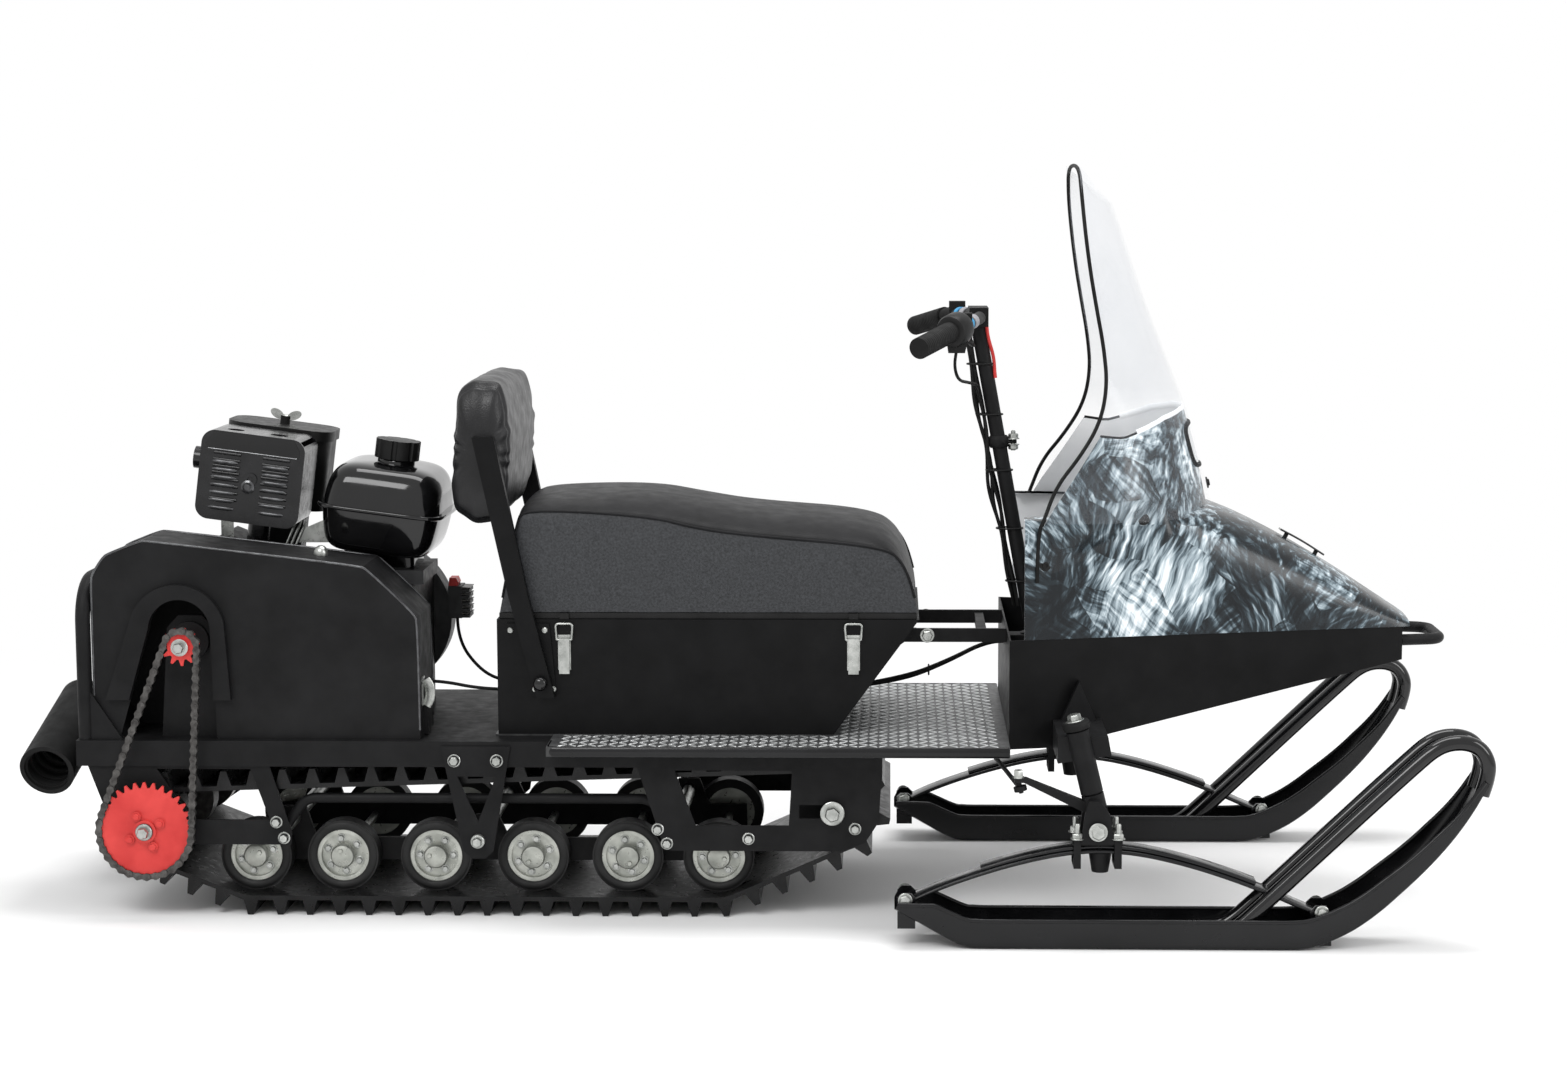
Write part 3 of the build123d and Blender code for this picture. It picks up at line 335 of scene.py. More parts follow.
class Finishes:
    """Makes each material once and gives it out by finish."""

    @cache
    def get(self, finish: Finish) -> bpy.types.Material:
        """Mottled colour, uneven roughness and grain of a finish.

        The mottle is noise through a ramp of two colours, the roughness finer noise mapped to the finish's range, and
        the grain a bump of fine noise or of rounded cells.

        Args:
            finish: The finish.

        Returns:
            Its material.
        """
        shader = Shader(finish.name)
        mottle = shader.noise(finish.mottle, 6)
        colour = shader.ramp(mottle, [(0.3, finish.dark), (0.7, finish.light)])
        if finish.dust:
            colour = shader.dusted(colour, finish.dust)
        shader.put("Base Color", colour)
        shader.put("Roughness", shader.spread(shader.noise(finish.mottle * 3.1, 5), *finish.rough))
        shader.put("Metallic", finish.metal)
        shader.put("Specular IOR Level", finish.shine)
        shader.put("Coat Weight", finish.coat)
        if finish.pebbled:
            cells = shader.node("ShaderNodeTexVoronoi", {"Vector": shader.coords, "Scale": finish.grain},
                                feature="SMOOTH_F1")
            shader.relief(cells.outputs["Distance"], finish.relief)
        else:
            shader.relief(shader.noise(finish.grain, 2), finish.relief)
        return shader.material

    @cache
    def hood_print(self) -> bpy.types.Material:
        """Brushed tufts of slate, black and white, each with its own lie, under gloss.

        Two layers of cells give each tuft an angle and a tone; noise drawn out along that angle, less the distance
        from the tuft's middle, is the hair. The mean of the layers drives a five-colour ramp.

        Returns:
            The material.
        """
        shader = Shader("hood_print")
        wander = shader.node("ShaderNodeTexNoise", {"Vector": shader.coords, "Scale": 7.0, "Detail": 3.0})
        push = shader.node("ShaderNodeVectorMath", {"0": wander.outputs["Color"], "1": (0.06, 0.03, 0.06)},
                           operation="MULTIPLY").outputs[0]
        bent = shader.node("ShaderNodeVectorMath", {"0": shader.coords, "1": push}, operation="ADD").outputs[0]
        layers = []
        for scale, shift in ((5.6, 0.0), (9.0, 3.7)):
            moved = shader.node("ShaderNodeVectorMath", {"0": bent, "1": (shift, shift, shift)},
                                operation="ADD").outputs[0]
            tufts = shader.node("ShaderNodeTexVoronoi", {"Vector": moved, "Scale": scale})
            lie = shader.node("ShaderNodeSeparateColor", {"Color": tufts.outputs["Color"]})
            angle = shader.calc("MULTIPLY", lie.outputs["Red"], 6.28)
            turned = shader.node("ShaderNodeVectorRotate", {"Vector": moved, "Center": tufts.outputs["Position"],
                                                            "Angle": angle}, rotation_type="Y_AXIS").outputs[0]
            long = shader.node("ShaderNodeMapping", {"Vector": turned, "Scale": (8.0, 55.0, 105.0)}).outputs[0]
            hair = shader.node("ShaderNodeTexNoise", {"Vector": long, "Scale": 1.0, "Detail": 4.0, "Roughness": 0.55,
                                                      "Distortion": 0.25}).outputs["Fac"]
            fade = shader.calc("MULTIPLY", tufts.outputs["Distance"], 0.34)
            shade = shader.calc("SUBTRACT", hair, fade)
            tone = shader.calc("MULTIPLY", lie.outputs["Green"], 0.20)
            layers.append(shader.calc("ADD", shade, tone))
        value = shader.calc("ADD", layers[0], layers[1])
        half = shader.calc("MULTIPLY", value, 0.5)
        colour = shader.ramp(half, [(0.32, (0.004, 0.006, 0.008)), (0.41, (0.014, 0.021, 0.026)),
                                    (0.47, (0.075, 0.105, 0.125)), (0.55, (0.34, 0.41, 0.45)),
                                    (0.64, (0.78, 0.83, 0.86))])
        shader.put("Base Color", colour)
        shader.put("Roughness", shader.spread(shader.noise(30, 4), 0.20, 0.32))
        shader.put("Specular IOR Level", 0.28)
        shader.put("Coat Weight", 0.12)
        shader.put("Coat Roughness", 0.08)
        return shader.material

    @cache
    def clear_sheet(self) -> bpy.types.Material:
        """Clear, slightly milky plastic sheet: its cover grows with height, times a soft noise.

        Returns:
            The material.
        """
        shader = Shader("clear_sheet")
        haze = shader.noise(9, 4)
        shader.put("Base Color", shader.ramp(haze, [(0.3, (0.52, 0.55, 0.60)), (0.7, (0.62, 0.65, 0.69))]))
        shader.put("Roughness", shader.spread(haze, 0.05, 0.12))
        height = shader.node("ShaderNodeSeparateXYZ", {"0": shader.coords}).outputs["Z"]
        above = shader.node("ShaderNodeMapRange", {"Value": height, "From Min": 0.84, "From Max": 0.90,
                                                   "To Min": 0.025, "To Max": 0.13}).outputs[0]
        veil = shader.spread(shader.noise(5, 3), 0.8, 1.2)
        shader.put("Alpha", shader.calc("MULTIPLY", above, veil))
        return shader.material

    def lamp_glass(self) -> bpy.types.Material:
        """Fluted clear lamp lens over a bright bowl.

        Returns:
            The material.
        """
        shader = Shader("lamp_glass")
        flutes = shader.node("ShaderNodeTexWave", {"Vector": shader.coords, "Scale": 26.0}, bands_direction="Y")
        bands = [(0.2, (0.55, 0.58, 0.6)), (0.8, (0.85, 0.87, 0.88))]
        shader.put("Base Color", shader.ramp(flutes.outputs["Fac"], bands))
        shader.put("Roughness", 0.08)
        shader.put("Metallic", 0.5)
        shader.relief(flutes.outputs["Fac"], 0.001)
        return shader.material


def unit(rows: np.ndarray) -> np.ndarray:
    """Rows of vectors, each divided by its length."""
    return rows / np.linalg.norm(rows, axis=1, keepdims=True)


def side_normals(path: np.ndarray) -> np.ndarray:
    """Directions square to a side-view path: the sideways axis crossed with the path's own direction."""
    return np.cross((0.0, -1.0, 0.0), unit(np.gradient(path, axis=0)))


@dataclass
class Patch:
    """Vertices with quads and triangles, before it becomes a piece.

    Args:
        verts: Points, one row each, in metres.
        quads: Four vertex numbers a face.
        tris: Three vertex numbers a face.
    """

    verts: np.ndarray
    quads: np.ndarray
    tris: np.ndarray

    @staticmethod
    def grid(points: np.ndarray, wrap_u: bool = False, wrap_v: bool = False) -> Patch:
        """Surface over a grid of points.

        Args:
            points: Grid of points, rows by columns by 3.
            wrap_u: True where the last row joins the first.
            wrap_v: True where the last column joins the first.

        Returns:
            The surface.
        """
        rows, cols = points.shape[:2]
        index = np.arange(rows * cols).reshape(rows, cols)
        index = np.vstack([index, index[:1]]) if wrap_u else index
        index = np.hstack([index, index[:, :1]]) if wrap_v else index
        quads = np.stack([index[:-1, :-1], index[:-1, 1:], index[1:, 1:], index[1:, :-1]], -1).reshape(-1, 4)
        return Patch(points.reshape(-1, 3), quads, np.zeros((0, 3), int))

    @staticmethod
    def capped(rings: np.ndarray) -> Patch:
        """Closed skin over rings of points, with a fan at each end.

        Args:
            rings: Rings by points by 3.

        Returns:
            The closed skin.
        """
        skin = Patch.grid(rings, wrap_v=True)
        count, sides = rings.shape[:2]
        ring = np.arange(sides)
        after = (ring + 1) % sides
        last = (count - 1) * sides
        ends = np.array([rings[0].mean(0), rings[-1].mean(0)])
        tris = np.vstack([np.stack([np.full(sides, count * sides), after, ring], 1),
                          np.stack([np.full(sides, count * sides + 1), last + ring, last + after], 1)])
        return Patch(np.vstack([skin.verts, ends]), skin.quads, tris)

    @staticmethod
    def turned(profile: list[tuple[float, float]], sides: int = 24) -> Patch:
        """Solid of a profile turned about the local Z axis.

        Args:
            profile: Radius and height pairs, from one end to the other.
            sides: Sides of the turning.

        Returns:
            The closed solid.
        """
        angle = np.arange(sides) * 2 * math.pi / sides
        r, h = np.array(profile).T
        r, h = r[:, None], np.repeat(h[:, None], sides, 1)
        return Patch.capped(np.stack([r * np.cos(angle), r * np.sin(angle), h], -1))

    @staticmethod
    def swept(path: np.ndarray, radius: float | np.ndarray, sides: int = 10, flat: float = 1.0,
              up: Point = (0, 0, 1), closed: bool = False) -> Patch:
        """Tube along a path: rings of cosine and sine, times the radius, square to the path's direction.

        Args:
            path: Points of the path.
            radius: Radius, one or one a point.
            sides: Sides of the tube.
            flat: Share of the radius across the up direction.
            up: Direction that the path never runs along.
            closed: True where the path's last point joins its first.

        Returns:
            The closed tube.
        """
        along = np.roll(path, -1, 0) - np.roll(path, 1, 0) if closed else np.gradient(path, axis=0)
        along = unit(along)
        side = unit(np.cross(along, np.array(up, float)))
        over = np.cross(side, along)
        angle = np.arange(sides) * 2 * math.pi / sides
        r = np.broadcast_to(np.asarray(radius, float), (len(path),))[:, None, None]
        rings = path[:, None] + r * (np.cos(angle)[None, :, None] * side[:, None]
                                     + flat * np.sin(angle)[None, :, None] * over[:, None])
        return Patch.grid(rings, wrap_u=True, wrap_v=True) if closed else Patch.capped(rings)

    @staticmethod
    def slab(outline: list[tuple[float, float]], y0: float, y1: float) -> Patch:
        """Convex side-view outline drawn out across the machine.

        Args:
            outline: Corner points in X and Z.
            y0: First side.
            y1: Second side.

        Returns:
            The closed plate.
        """
        x, z = np.array(outline).T
        return Patch.capped(np.stack([np.stack([x, np.full(len(x), y), z], 1) for y in (y0, y1)]))

    @staticmethod
    def ribbon(path: np.ndarray, half: float, thick: float) -> Patch:
        """Flat bar along a path of constant Y, with half circles for its edges.

        Args:
            path: Points of the path.
            half: Half of its width.
            thick: Half of its thickness.

        Returns:
            The closed bar.
        """
        over = side_normals(path)
        angle = np.linspace(-math.pi / 2, math.pi / 2, 6)
        reach = half - thick
        across = np.concatenate([reach + thick * np.cos(angle), -reach - thick * np.cos(angle)])
        rise = np.concatenate([thick * np.sin(angle), -thick * np.sin(angle)])
        wide = across[None, :, None] * np.array([0.0, 1.0, 0.0])
        return Patch.capped(path[:, None] + wide + rise[None, :, None] * over[:, None])

    def copies(self, spots: np.ndarray, axis: Point = (0, 0, 1), spin: np.ndarray | float = 0.0
               ) -> Patch:
        """Copies with the local Z axis turned to a direction: each point times the turned axes, plus the spot.

        Args:
            spots: Origins, one row each.
            axis: Direction of the local Z axis.
            spin: Turn of each copy about that axis, in radians.

        Returns:
            All the copies in one patch.
        """
        z = np.array(axis, float) / np.linalg.norm(axis)
        x = np.cross((0.0, 1.0, 0.0) if abs(z[1]) < 0.9 else (0.0, 0.0, 1.0), z)
        x /= np.linalg.norm(x)
        y = np.cross(z, x)
        spots = np.atleast_2d(np.asarray(spots, float))
        turn = np.broadcast_to(np.asarray(spin, float), (len(spots),))[:, None]
        ax = np.cos(turn) * x + np.sin(turn) * y
        ay = np.cos(turn) * y - np.sin(turn) * x
        basis = np.stack([ax, ay, np.broadcast_to(z, ax.shape)], 1)
        verts = np.einsum("vk,nkc->nvc", self.verts, basis) + spots[:, None]
        step = (np.arange(len(spots)) * len(self.verts))[:, None, None]
        return Patch(verts.reshape(-1, 3), (self.quads[None] + step).reshape(-1, 4),
                     (self.tris[None] + step).reshape(-1, 3))

    @staticmethod
    def joined(*patches: Patch) -> Patch:
        """Several patches as one.

        Args:
            patches: The patches.

        Returns:
            The joined patch.
        """
        starts = np.cumsum([0] + [len(p.verts) for p in patches[:-1]])
        return Patch(np.vstack([p.verts for p in patches]),
                     np.vstack([p.quads + s for p, s in zip(patches, starts)]),
                     np.vstack([p.tris + s for p, s in zip(patches, starts)]))

    def piece(self, name: str, body: Body, slot: str, material: bpy.types.Material, sharp: float
              ) -> bpy.types.Object:
        """Make the patch a piece of the model.

        Args:
            name: Name of the piece.
            body: Body that it rides on.
            slot: Material slot of the record; not used.
            material: Its material.
            sharp: Edges over this angle, in degrees, stay sharp.

        Returns:
            The new object.
        """
        mesh = bpy.data.meshes.new(name)
        mesh.from_pydata(self.verts.tolist(), [], self.quads.tolist() + self.tris.tolist())
        shell = bmesh.new()
        shell.from_mesh(mesh)
        bmesh.ops.recalc_face_normals(shell, faces=shell.faces)
        shell.to_mesh(mesh)
        shell.free()
        mesh.shade_smooth()
        mesh.set_sharp_from_angle(angle=math.radians(sharp))
        mesh.materials.append(material)
        made = bpy.data.objects.new(name, mesh)
        bpy.context.scene.collection.objects.link(made)
        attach(made, body.value)
        LOG.info("%s on %s, %d faces", name, body.value, len(mesh.polygons))
        return made


def smooth_line(points: Line | list[Row], count: int, closed: bool = False, rounds: int = 4) -> np.ndarray:
    """Even points on a line whose corners have been cut, each time at a quarter and three quarters of every side.

    Args:
        points: Corner points.
        count: Points wanted.
        closed: True for a closed line.
        rounds: Times that the corners are cut.

    Returns:
        The points, count by dimension.
    """
    line = np.array(points, float)
    for _ in range(rounds):
        after = np.roll(line, -1, 0)
        cut = np.stack([0.75 * line + 0.25 * after, 0.25 * line + 0.75 * after], 1)
        line = cut.reshape(-1, line.shape[1]) if closed else np.vstack(
            [line[:1], cut[:-1].reshape(-1, line.shape[1]), line[-1:]])
    line = np.vstack([line, line[:1]]) if closed else line
    run = np.concatenate([[0.0], np.cumsum(np.linalg.norm(np.diff(line, axis=0), axis=1))])
    want = np.linspace(0, run[-1], count + 1)[:-1] if closed else np.linspace(0, run[-1], count)
    return np.stack([np.interp(want, run, line[:, k]) for k in range(line.shape[1])], 1)


def at_y(line: np.ndarray, y: float) -> np.ndarray:
    """Side-view line as points at one Y.

    Args:
        line: Points in X and Z.
        y: Their Y.

    Returns:
        The points in X, Y and Z.
    """
    return np.column_stack([line[:, 0], np.full(len(line), y), line[:, 1]])


def arc(x: float, z: float, radius: float, angle: np.ndarray) -> np.ndarray:
    """Points on a circle in the side view: the centre plus the radius times cosine and sine.

    Args:
        x: Centre's X.
        z: Centre's Z.
        radius: Radius.
        angle: Angles of the points.

    Returns:
        Points in X and Z.
    """
    return np.stack([x + radius * np.cos(angle), z + radius * np.sin(angle)], 1)


def set_in_scene(thing: bpy.types.Object, axes: np.ndarray, place: Point) -> None:
    """Stand a camera or light at a place and link it.

    Args:
        thing: The object.
        axes: Its X, Y and Z axes as columns.
        place: Its origin.
    """
    matrix = np.eye(4)
    matrix[:3, :3] = axes
    matrix[:3, 3] = place
    thing.matrix_world = matrix.T.tolist()
    bpy.context.scene.collection.objects.link(thing)


def hex_bolt(across: float, height: float, washer: float = 0.0) -> Patch:
    """Hex head with a chamfered top on a washer.

    Args:
        across: Radius of the head's corners.
        height: Height of the head.
        washer: Radius of the washer, 0 for none.

    Returns:
        The bolt, standing on its local XY plane.
    """
    head = Patch.turned([(across, 0), (across, 0.78 * height), (0.86 * across, height),
                         (0.3 * across, 1.02 * height)], 6)
    if not washer:
        return head
    thick = 0.22 * height
    disc = Patch.turned([(washer, 0), (washer, 0.7 * thick), (0.94 * washer, thick), (0.5 * washer, thick)], 24)
    return Patch.joined(disc, Patch(head.verts + (0, 0, thick), head.quads, head.tris))


@dataclass
class Group:
    """Sub-assembly that dresses its pieces from one material maker.

    Args:
        finishes: Material maker.
    """

    finishes: Finishes

    def add(self, patch: Patch, name: str, slot: str, finish: Finish, sharp: float = 40.0,
            body: Body = Body.CHASSIS) -> bpy.types.Object:
        """Make a patch a piece in a finish.

        Args:
            patch: The patch.
            name: Name of the piece.
            slot: Material slot of the record.
            finish: Its finish.
            sharp: Edges over this angle, in degrees, stay sharp.
            body: Body that it rides on.

        Returns:
            The new object.
        """
        return patch.piece(name, body, slot, self.finishes.get(finish), sharp)


@dataclass
class Seat(Group):
    """Long vinyl cushion with a crowned top, and the gathered backrest roll.

    Args:
        floor_z: Height of the cushion's underside.
        half: Half width of the cushion.
        edge: Side view of its top edge.
        crown: Side view of its middle.
        roll: Side view of the backrest.
        roll_half: Half width of the backrest.
    """

    floor_z: float = 0.5306
    half: float = 0.1985
    edge: Line = (
        (-0.405, 0.5306), (-0.373, 0.690), (-0.360, 0.712), (-0.145, 0.700), (-0.058, 0.677), (0.047, 0.664),
        (0.268, 0.646), (0.301, 0.614), (0.319, 0.556), (0.322, 0.5306))
    crown: Line = (
        (-0.402, 0.5306), (-0.380, 0.706), (-0.355, 0.725), (-0.159, 0.733), (-0.058, 0.715), (0.030, 0.700),
        (0.240, 0.685), (0.293, 0.650), (0.317, 0.556), (0.320, 0.5306))
    roll: Line = (
        (-0.470, 0.690), (-0.420, 0.684), (-0.396, 0.708), (-0.386, 0.800), (-0.384, 0.850), (-0.396, 0.920),
        (-0.420, 0.936), (-0.452, 0.936), (-0.474, 0.918), (-0.482, 0.850), (-0.488, 0.760), (-0.488, 0.710))
    roll_half: float = 0.2075

    def build(self) -> None:
        """Make the cushion, its piping and the backrest roll."""
        self._cushion()
        self._roll()

    def _cushion(self) -> None:
        """Cushion and piping.

        Each station blends the side edge into the crown by a swell across the width; the flanks bulge by a half
        sine, with small puckers, down to the floor line.
        """
        stations, tops, sides = 110, 41, 10
        edge = smooth_line(self.edge, stations, rounds=3)
        crown = smooth_line(self.crown, stations, rounds=3)
        y = np.sin(np.linspace(-1, 1, tops) * math.pi / 2) * self.half
        swell = np.clip(1 - np.abs(y / self.half) ** 2.6, 0, 1) ** 0.62
        line = edge[:, None] * (1 - swell)[None, :, None] + crown[:, None] * swell[None, :, None]
        top = np.stack([line[..., 0], np.broadcast_to(y, line.shape[:2]), line[..., 1]], -1)
        down = np.linspace(0, 1, sides + 1)[1:]
        drop = edge[:, None, 1] * (1 - down) + self.floor_z * down
        x = np.broadcast_to(edge[:, :1], drop.shape)
        tall = (edge[:, 1:] - self.floor_z) / 0.18
        pucker = 0.0012 * np.sin(x * 95 + 3 * down) * np.sin(math.pi * down) + 0.0009 * np.sin(x * 41 + 1.0)
        out = self.half + tall * (0.0065 * np.sin(math.pi * down) + pucker)
        right = np.stack([x, -out, drop], -1)
        left = np.stack([x, out, drop], -1)
        skin = np.concatenate([right[:, ::-1], top, left], 1)
        cushion = self.add(Patch.grid(skin, wrap_v=True),
                           "seat_cushion_skin", "seat_vinyl", VINYL_TOP, 60, body=Body.SEAT)
        cushion.data.materials.append(self.finishes.get(VINYL))
        column = np.tile(np.arange(skin.shape[1]), stations - 1)
        flank = ((column < sides) | (column >= sides + tops - 1)) & (column < skin.shape[1] - 1)
        cushion.data.polygons.foreach_set("material_index", flank.astype(np.int32))
        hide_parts("seat_cushion")
        cord = [at_y(edge[3:-3], s * (self.half + 0.0006)) for s in SIDES]
        self.add(Patch.joined(*[Patch.swept(c, 0.0024, 8, up=(0, 1, 0)) for c in cord]),
                 "seat_piping", "seat_vinyl", VINYL_TOP, body=Body.SEAT)

    def _roll(self) -> None:
        """Backrest roll.

        The side outline is scaled about its middle at each station by a domed end, gathers that fade inwards,
        shallow creases and a seam groove.
        """
        rings, sides = 96, 120
        loop = smooth_line(self.roll, sides, closed=True, rounds=3)
        middle = loop.mean(0)
        y = np.sin(np.linspace(-1, 1, rings) * math.pi / 2) * self.roll_half
        inward = self.roll_half - np.abs(y)
        angle = np.arctan2(loop[:, 1] - middle[1], loop[:, 0] - middle[0])
        dome = 0.34 + 0.66 * np.sqrt(1 - np.clip(1 - inward / 0.036, 0, 1) ** 2)
        near = np.exp(-inward / 0.030)[:, None]
        gather = 0.062 * near * (np.sin(11 * angle + 1.7 * np.sin(2 * angle)) + 0.5 * np.sin(19 * angle + 2.0))[None]
        crease = 0.010 * np.sin(7 * angle[None] + 24 * y[:, None]) * np.cos(11 * y[:, None] * 3 + 2 * angle[None])
        seam = -0.05 * np.exp(-((inward - 0.024) / 0.0035) ** 2)[:, None]
        reach = dome[:, None] * (1 + gather + crease) + seam
        x = middle[0] + (loop[None, :, 0] - middle[0]) * reach
        z = middle[1] + (loop[None, :, 1] - middle[1]) * reach
        skin = np.stack([x, np.broadcast_to(y[:, None], x.shape), z], -1)
        roll = self.add(Patch.capped(skin), "backrest_roll", "seat_vinyl", LEATHER, 70)
        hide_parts("backrest_pad")


@dataclass
class Deck(Group):
    """Raised bars of the checker plate running board.

    Args:
        top: Height of the plate.
        pitch: Distance between bars.
        span: First and last station of the bars.
        half: Half width of the field of bars.
        box: Front and half width of the seat box, which stays clear.
    """

    top: float = 0.316
    pitch: float = 0.0172
    span: Row = (-0.298, 0.466)
    half: float = 0.312
    box: Row = (0.186, 0.222)

    def build(self) -> None:
        """Lay the bars outside the seat box, and the hem.

        A bar's half width falls to its ends as an ellipse and its height is a half sine across; neighbours on the grid
        lie at 45 and 135 degrees.
        """
        place = np.linspace(-1, 1, 9)
        across = 0.0029 * np.sqrt(1 - 0.96 * place ** 2)
        angle = np.linspace(0, math.pi, 5)
        rings = np.stack([across[:, None] * np.cos(angle), np.repeat(place[:, None] * 0.0104, 5, 1),
                          0.0013 * np.sin(angle) * (across / across.max())[:, None] ** 0.5], -1)
        bar = Patch.grid(rings)
        columns, rows = np.arange(-20, 28), np.arange(-18, 19)
        column, row = np.meshgrid(columns, rows, indexing="ij")
        x, y = column * self.pitch + 0.006, row * self.pitch
        clear = (np.abs(y) > self.box[1]) | (x > self.box[0])
        keep = (x > self.span[0]) & (x < self.span[1]) & (np.abs(y) < self.half) & clear
        tilt = np.where((column + row) % 2 == 0, 0.25, 0.75) * math.pi
        spots = np.stack([x, y, np.full_like(x, self.top)], -1)[keep]
        self.add(bar.copies(spots, spin=tilt[keep]), "checker_bars", "checker_plate", CHECKER_BAR, 60)
        edge_tubes = []
        for side in SIDES:
            line = [(-0.3105, side * 0.264, 0.3075), (-0.3105, side * 0.300, 0.3075), (-0.3105, side * 0.318, 0.3075),
                    (-0.306, side * 0.3228, 0.3075), (-0.290, side * 0.3228, 0.3075), (0.440, side * 0.3228, 0.3075),
                    (0.478, side * 0.3228, 0.3075)]
            edge_tubes.append(Patch.swept(smooth_line(line, 120, rounds=3), 0.0045, 14, 2.1))
        self.add(Patch.joined(*edge_tubes), "board_hem", "black_steel", SKI_STEEL, 50)


@dataclass
class Rollers(Group):
    """Hub caps, rim bolts and rounded sidewalls of the bogie rollers.

    Args:
        xs: Stations of the axles.
        z: Height of the axles.
        face: Y of the tyres' faces.
        well: Y of the rims' discs.
    """

    xs: Row = (-0.843, -0.689, -0.524, -0.352, -0.185, -0.025)
    z: float = 0.097
    face: float = 0.203
    well: float = 0.192

    def build(self) -> None:
        """Make turned caps, bolts on a circle and a flattened ring on each sidewall, on both sides."""
        dome = Patch.turned([(0.0208, 0), (0.0212, 0.0045), (0.0188, 0.0085), (0.0125, 0.0108), (0.004, 0.0116)], 28)
        bolt = hex_bolt(0.0056, 0.005, 0.0076)
        small = hex_bolt(0.0046, 0.0042)
        turn = np.arange(6) * math.pi / 3 + 0.3
        loop = np.arange(40) * math.pi / 20
        caps, bolts, walls = [], [], []
        for side in SIDES:
            axis = (0, side, 0)
            for number, x in enumerate(self.xs):
                hub = np.array([x, side * (self.face + 0.0005), self.z])
                caps.append(dome.copies(hub, axis))
                lean = 0.7 + 1.1 * number
                spot = hub + (0.0105 * math.cos(lean), side * 0.0105, 0.0105 * math.sin(lean))
                caps.append(small.copies(spot, axis))
                spin = turn + 0.37 * number
                ring = at_y(arc(x, self.z, 0.0295, spin), side * self.well)
                bolts.append(bolt.copies(ring, axis, 0.2))
                wall = at_y(arc(x, self.z, 0.0535, loop), side * self.face)
                walls.append(Patch.swept(wall, 0.0068, 8, 0.45, (0, 1, 0), True))
        self.add(Patch.joined(*caps), "hub_caps", "rim_paint", RIM_PAINT, 35)
        self.add(Patch.joined(*bolts), "rim_bolts", "bright_steel", ZINC, 30)
        self.add(Patch.joined(*walls), "roller_sidewalls", "black_rubber", TYRE, 50)


@dataclass
class Fasteners(Group):
    """Hex bolts over the plain bolt studs of the frame.

    Args:
        frame: Bolts of the side frames, X and Z.
        hanger: Bolts of the hangers, X and Z.
    """

    frame: Line = (
        (-0.795, 0.168), (-0.782, 0.140), (-0.128, 0.158), (-0.112, 0.133), (0.215, 0.160), (0.030, 0.142))
    hanger: Line = ((-0.480, 0.280), (-0.406, 0.280))

    def build(self) -> None:
        """Make the bolts on both sides, each turned a little further than the last."""
        heads = []
        for side in SIDES:
            for spots, face, across in ((self.frame, 0.256, 0.0080), (self.hanger, 0.266, 0.0084)):
                where = np.array([(x, side * face, z) for x, z in spots])
                bolt = hex_bolt(across, 0.0078, across * 1.35)
                heads.append(bolt.copies(where, (0, side, 0), np.arange(len(where)) * 0.4))
        self.add(Patch.joined(*heads), "frame_bolts", "bright_steel", ZINC, 30)


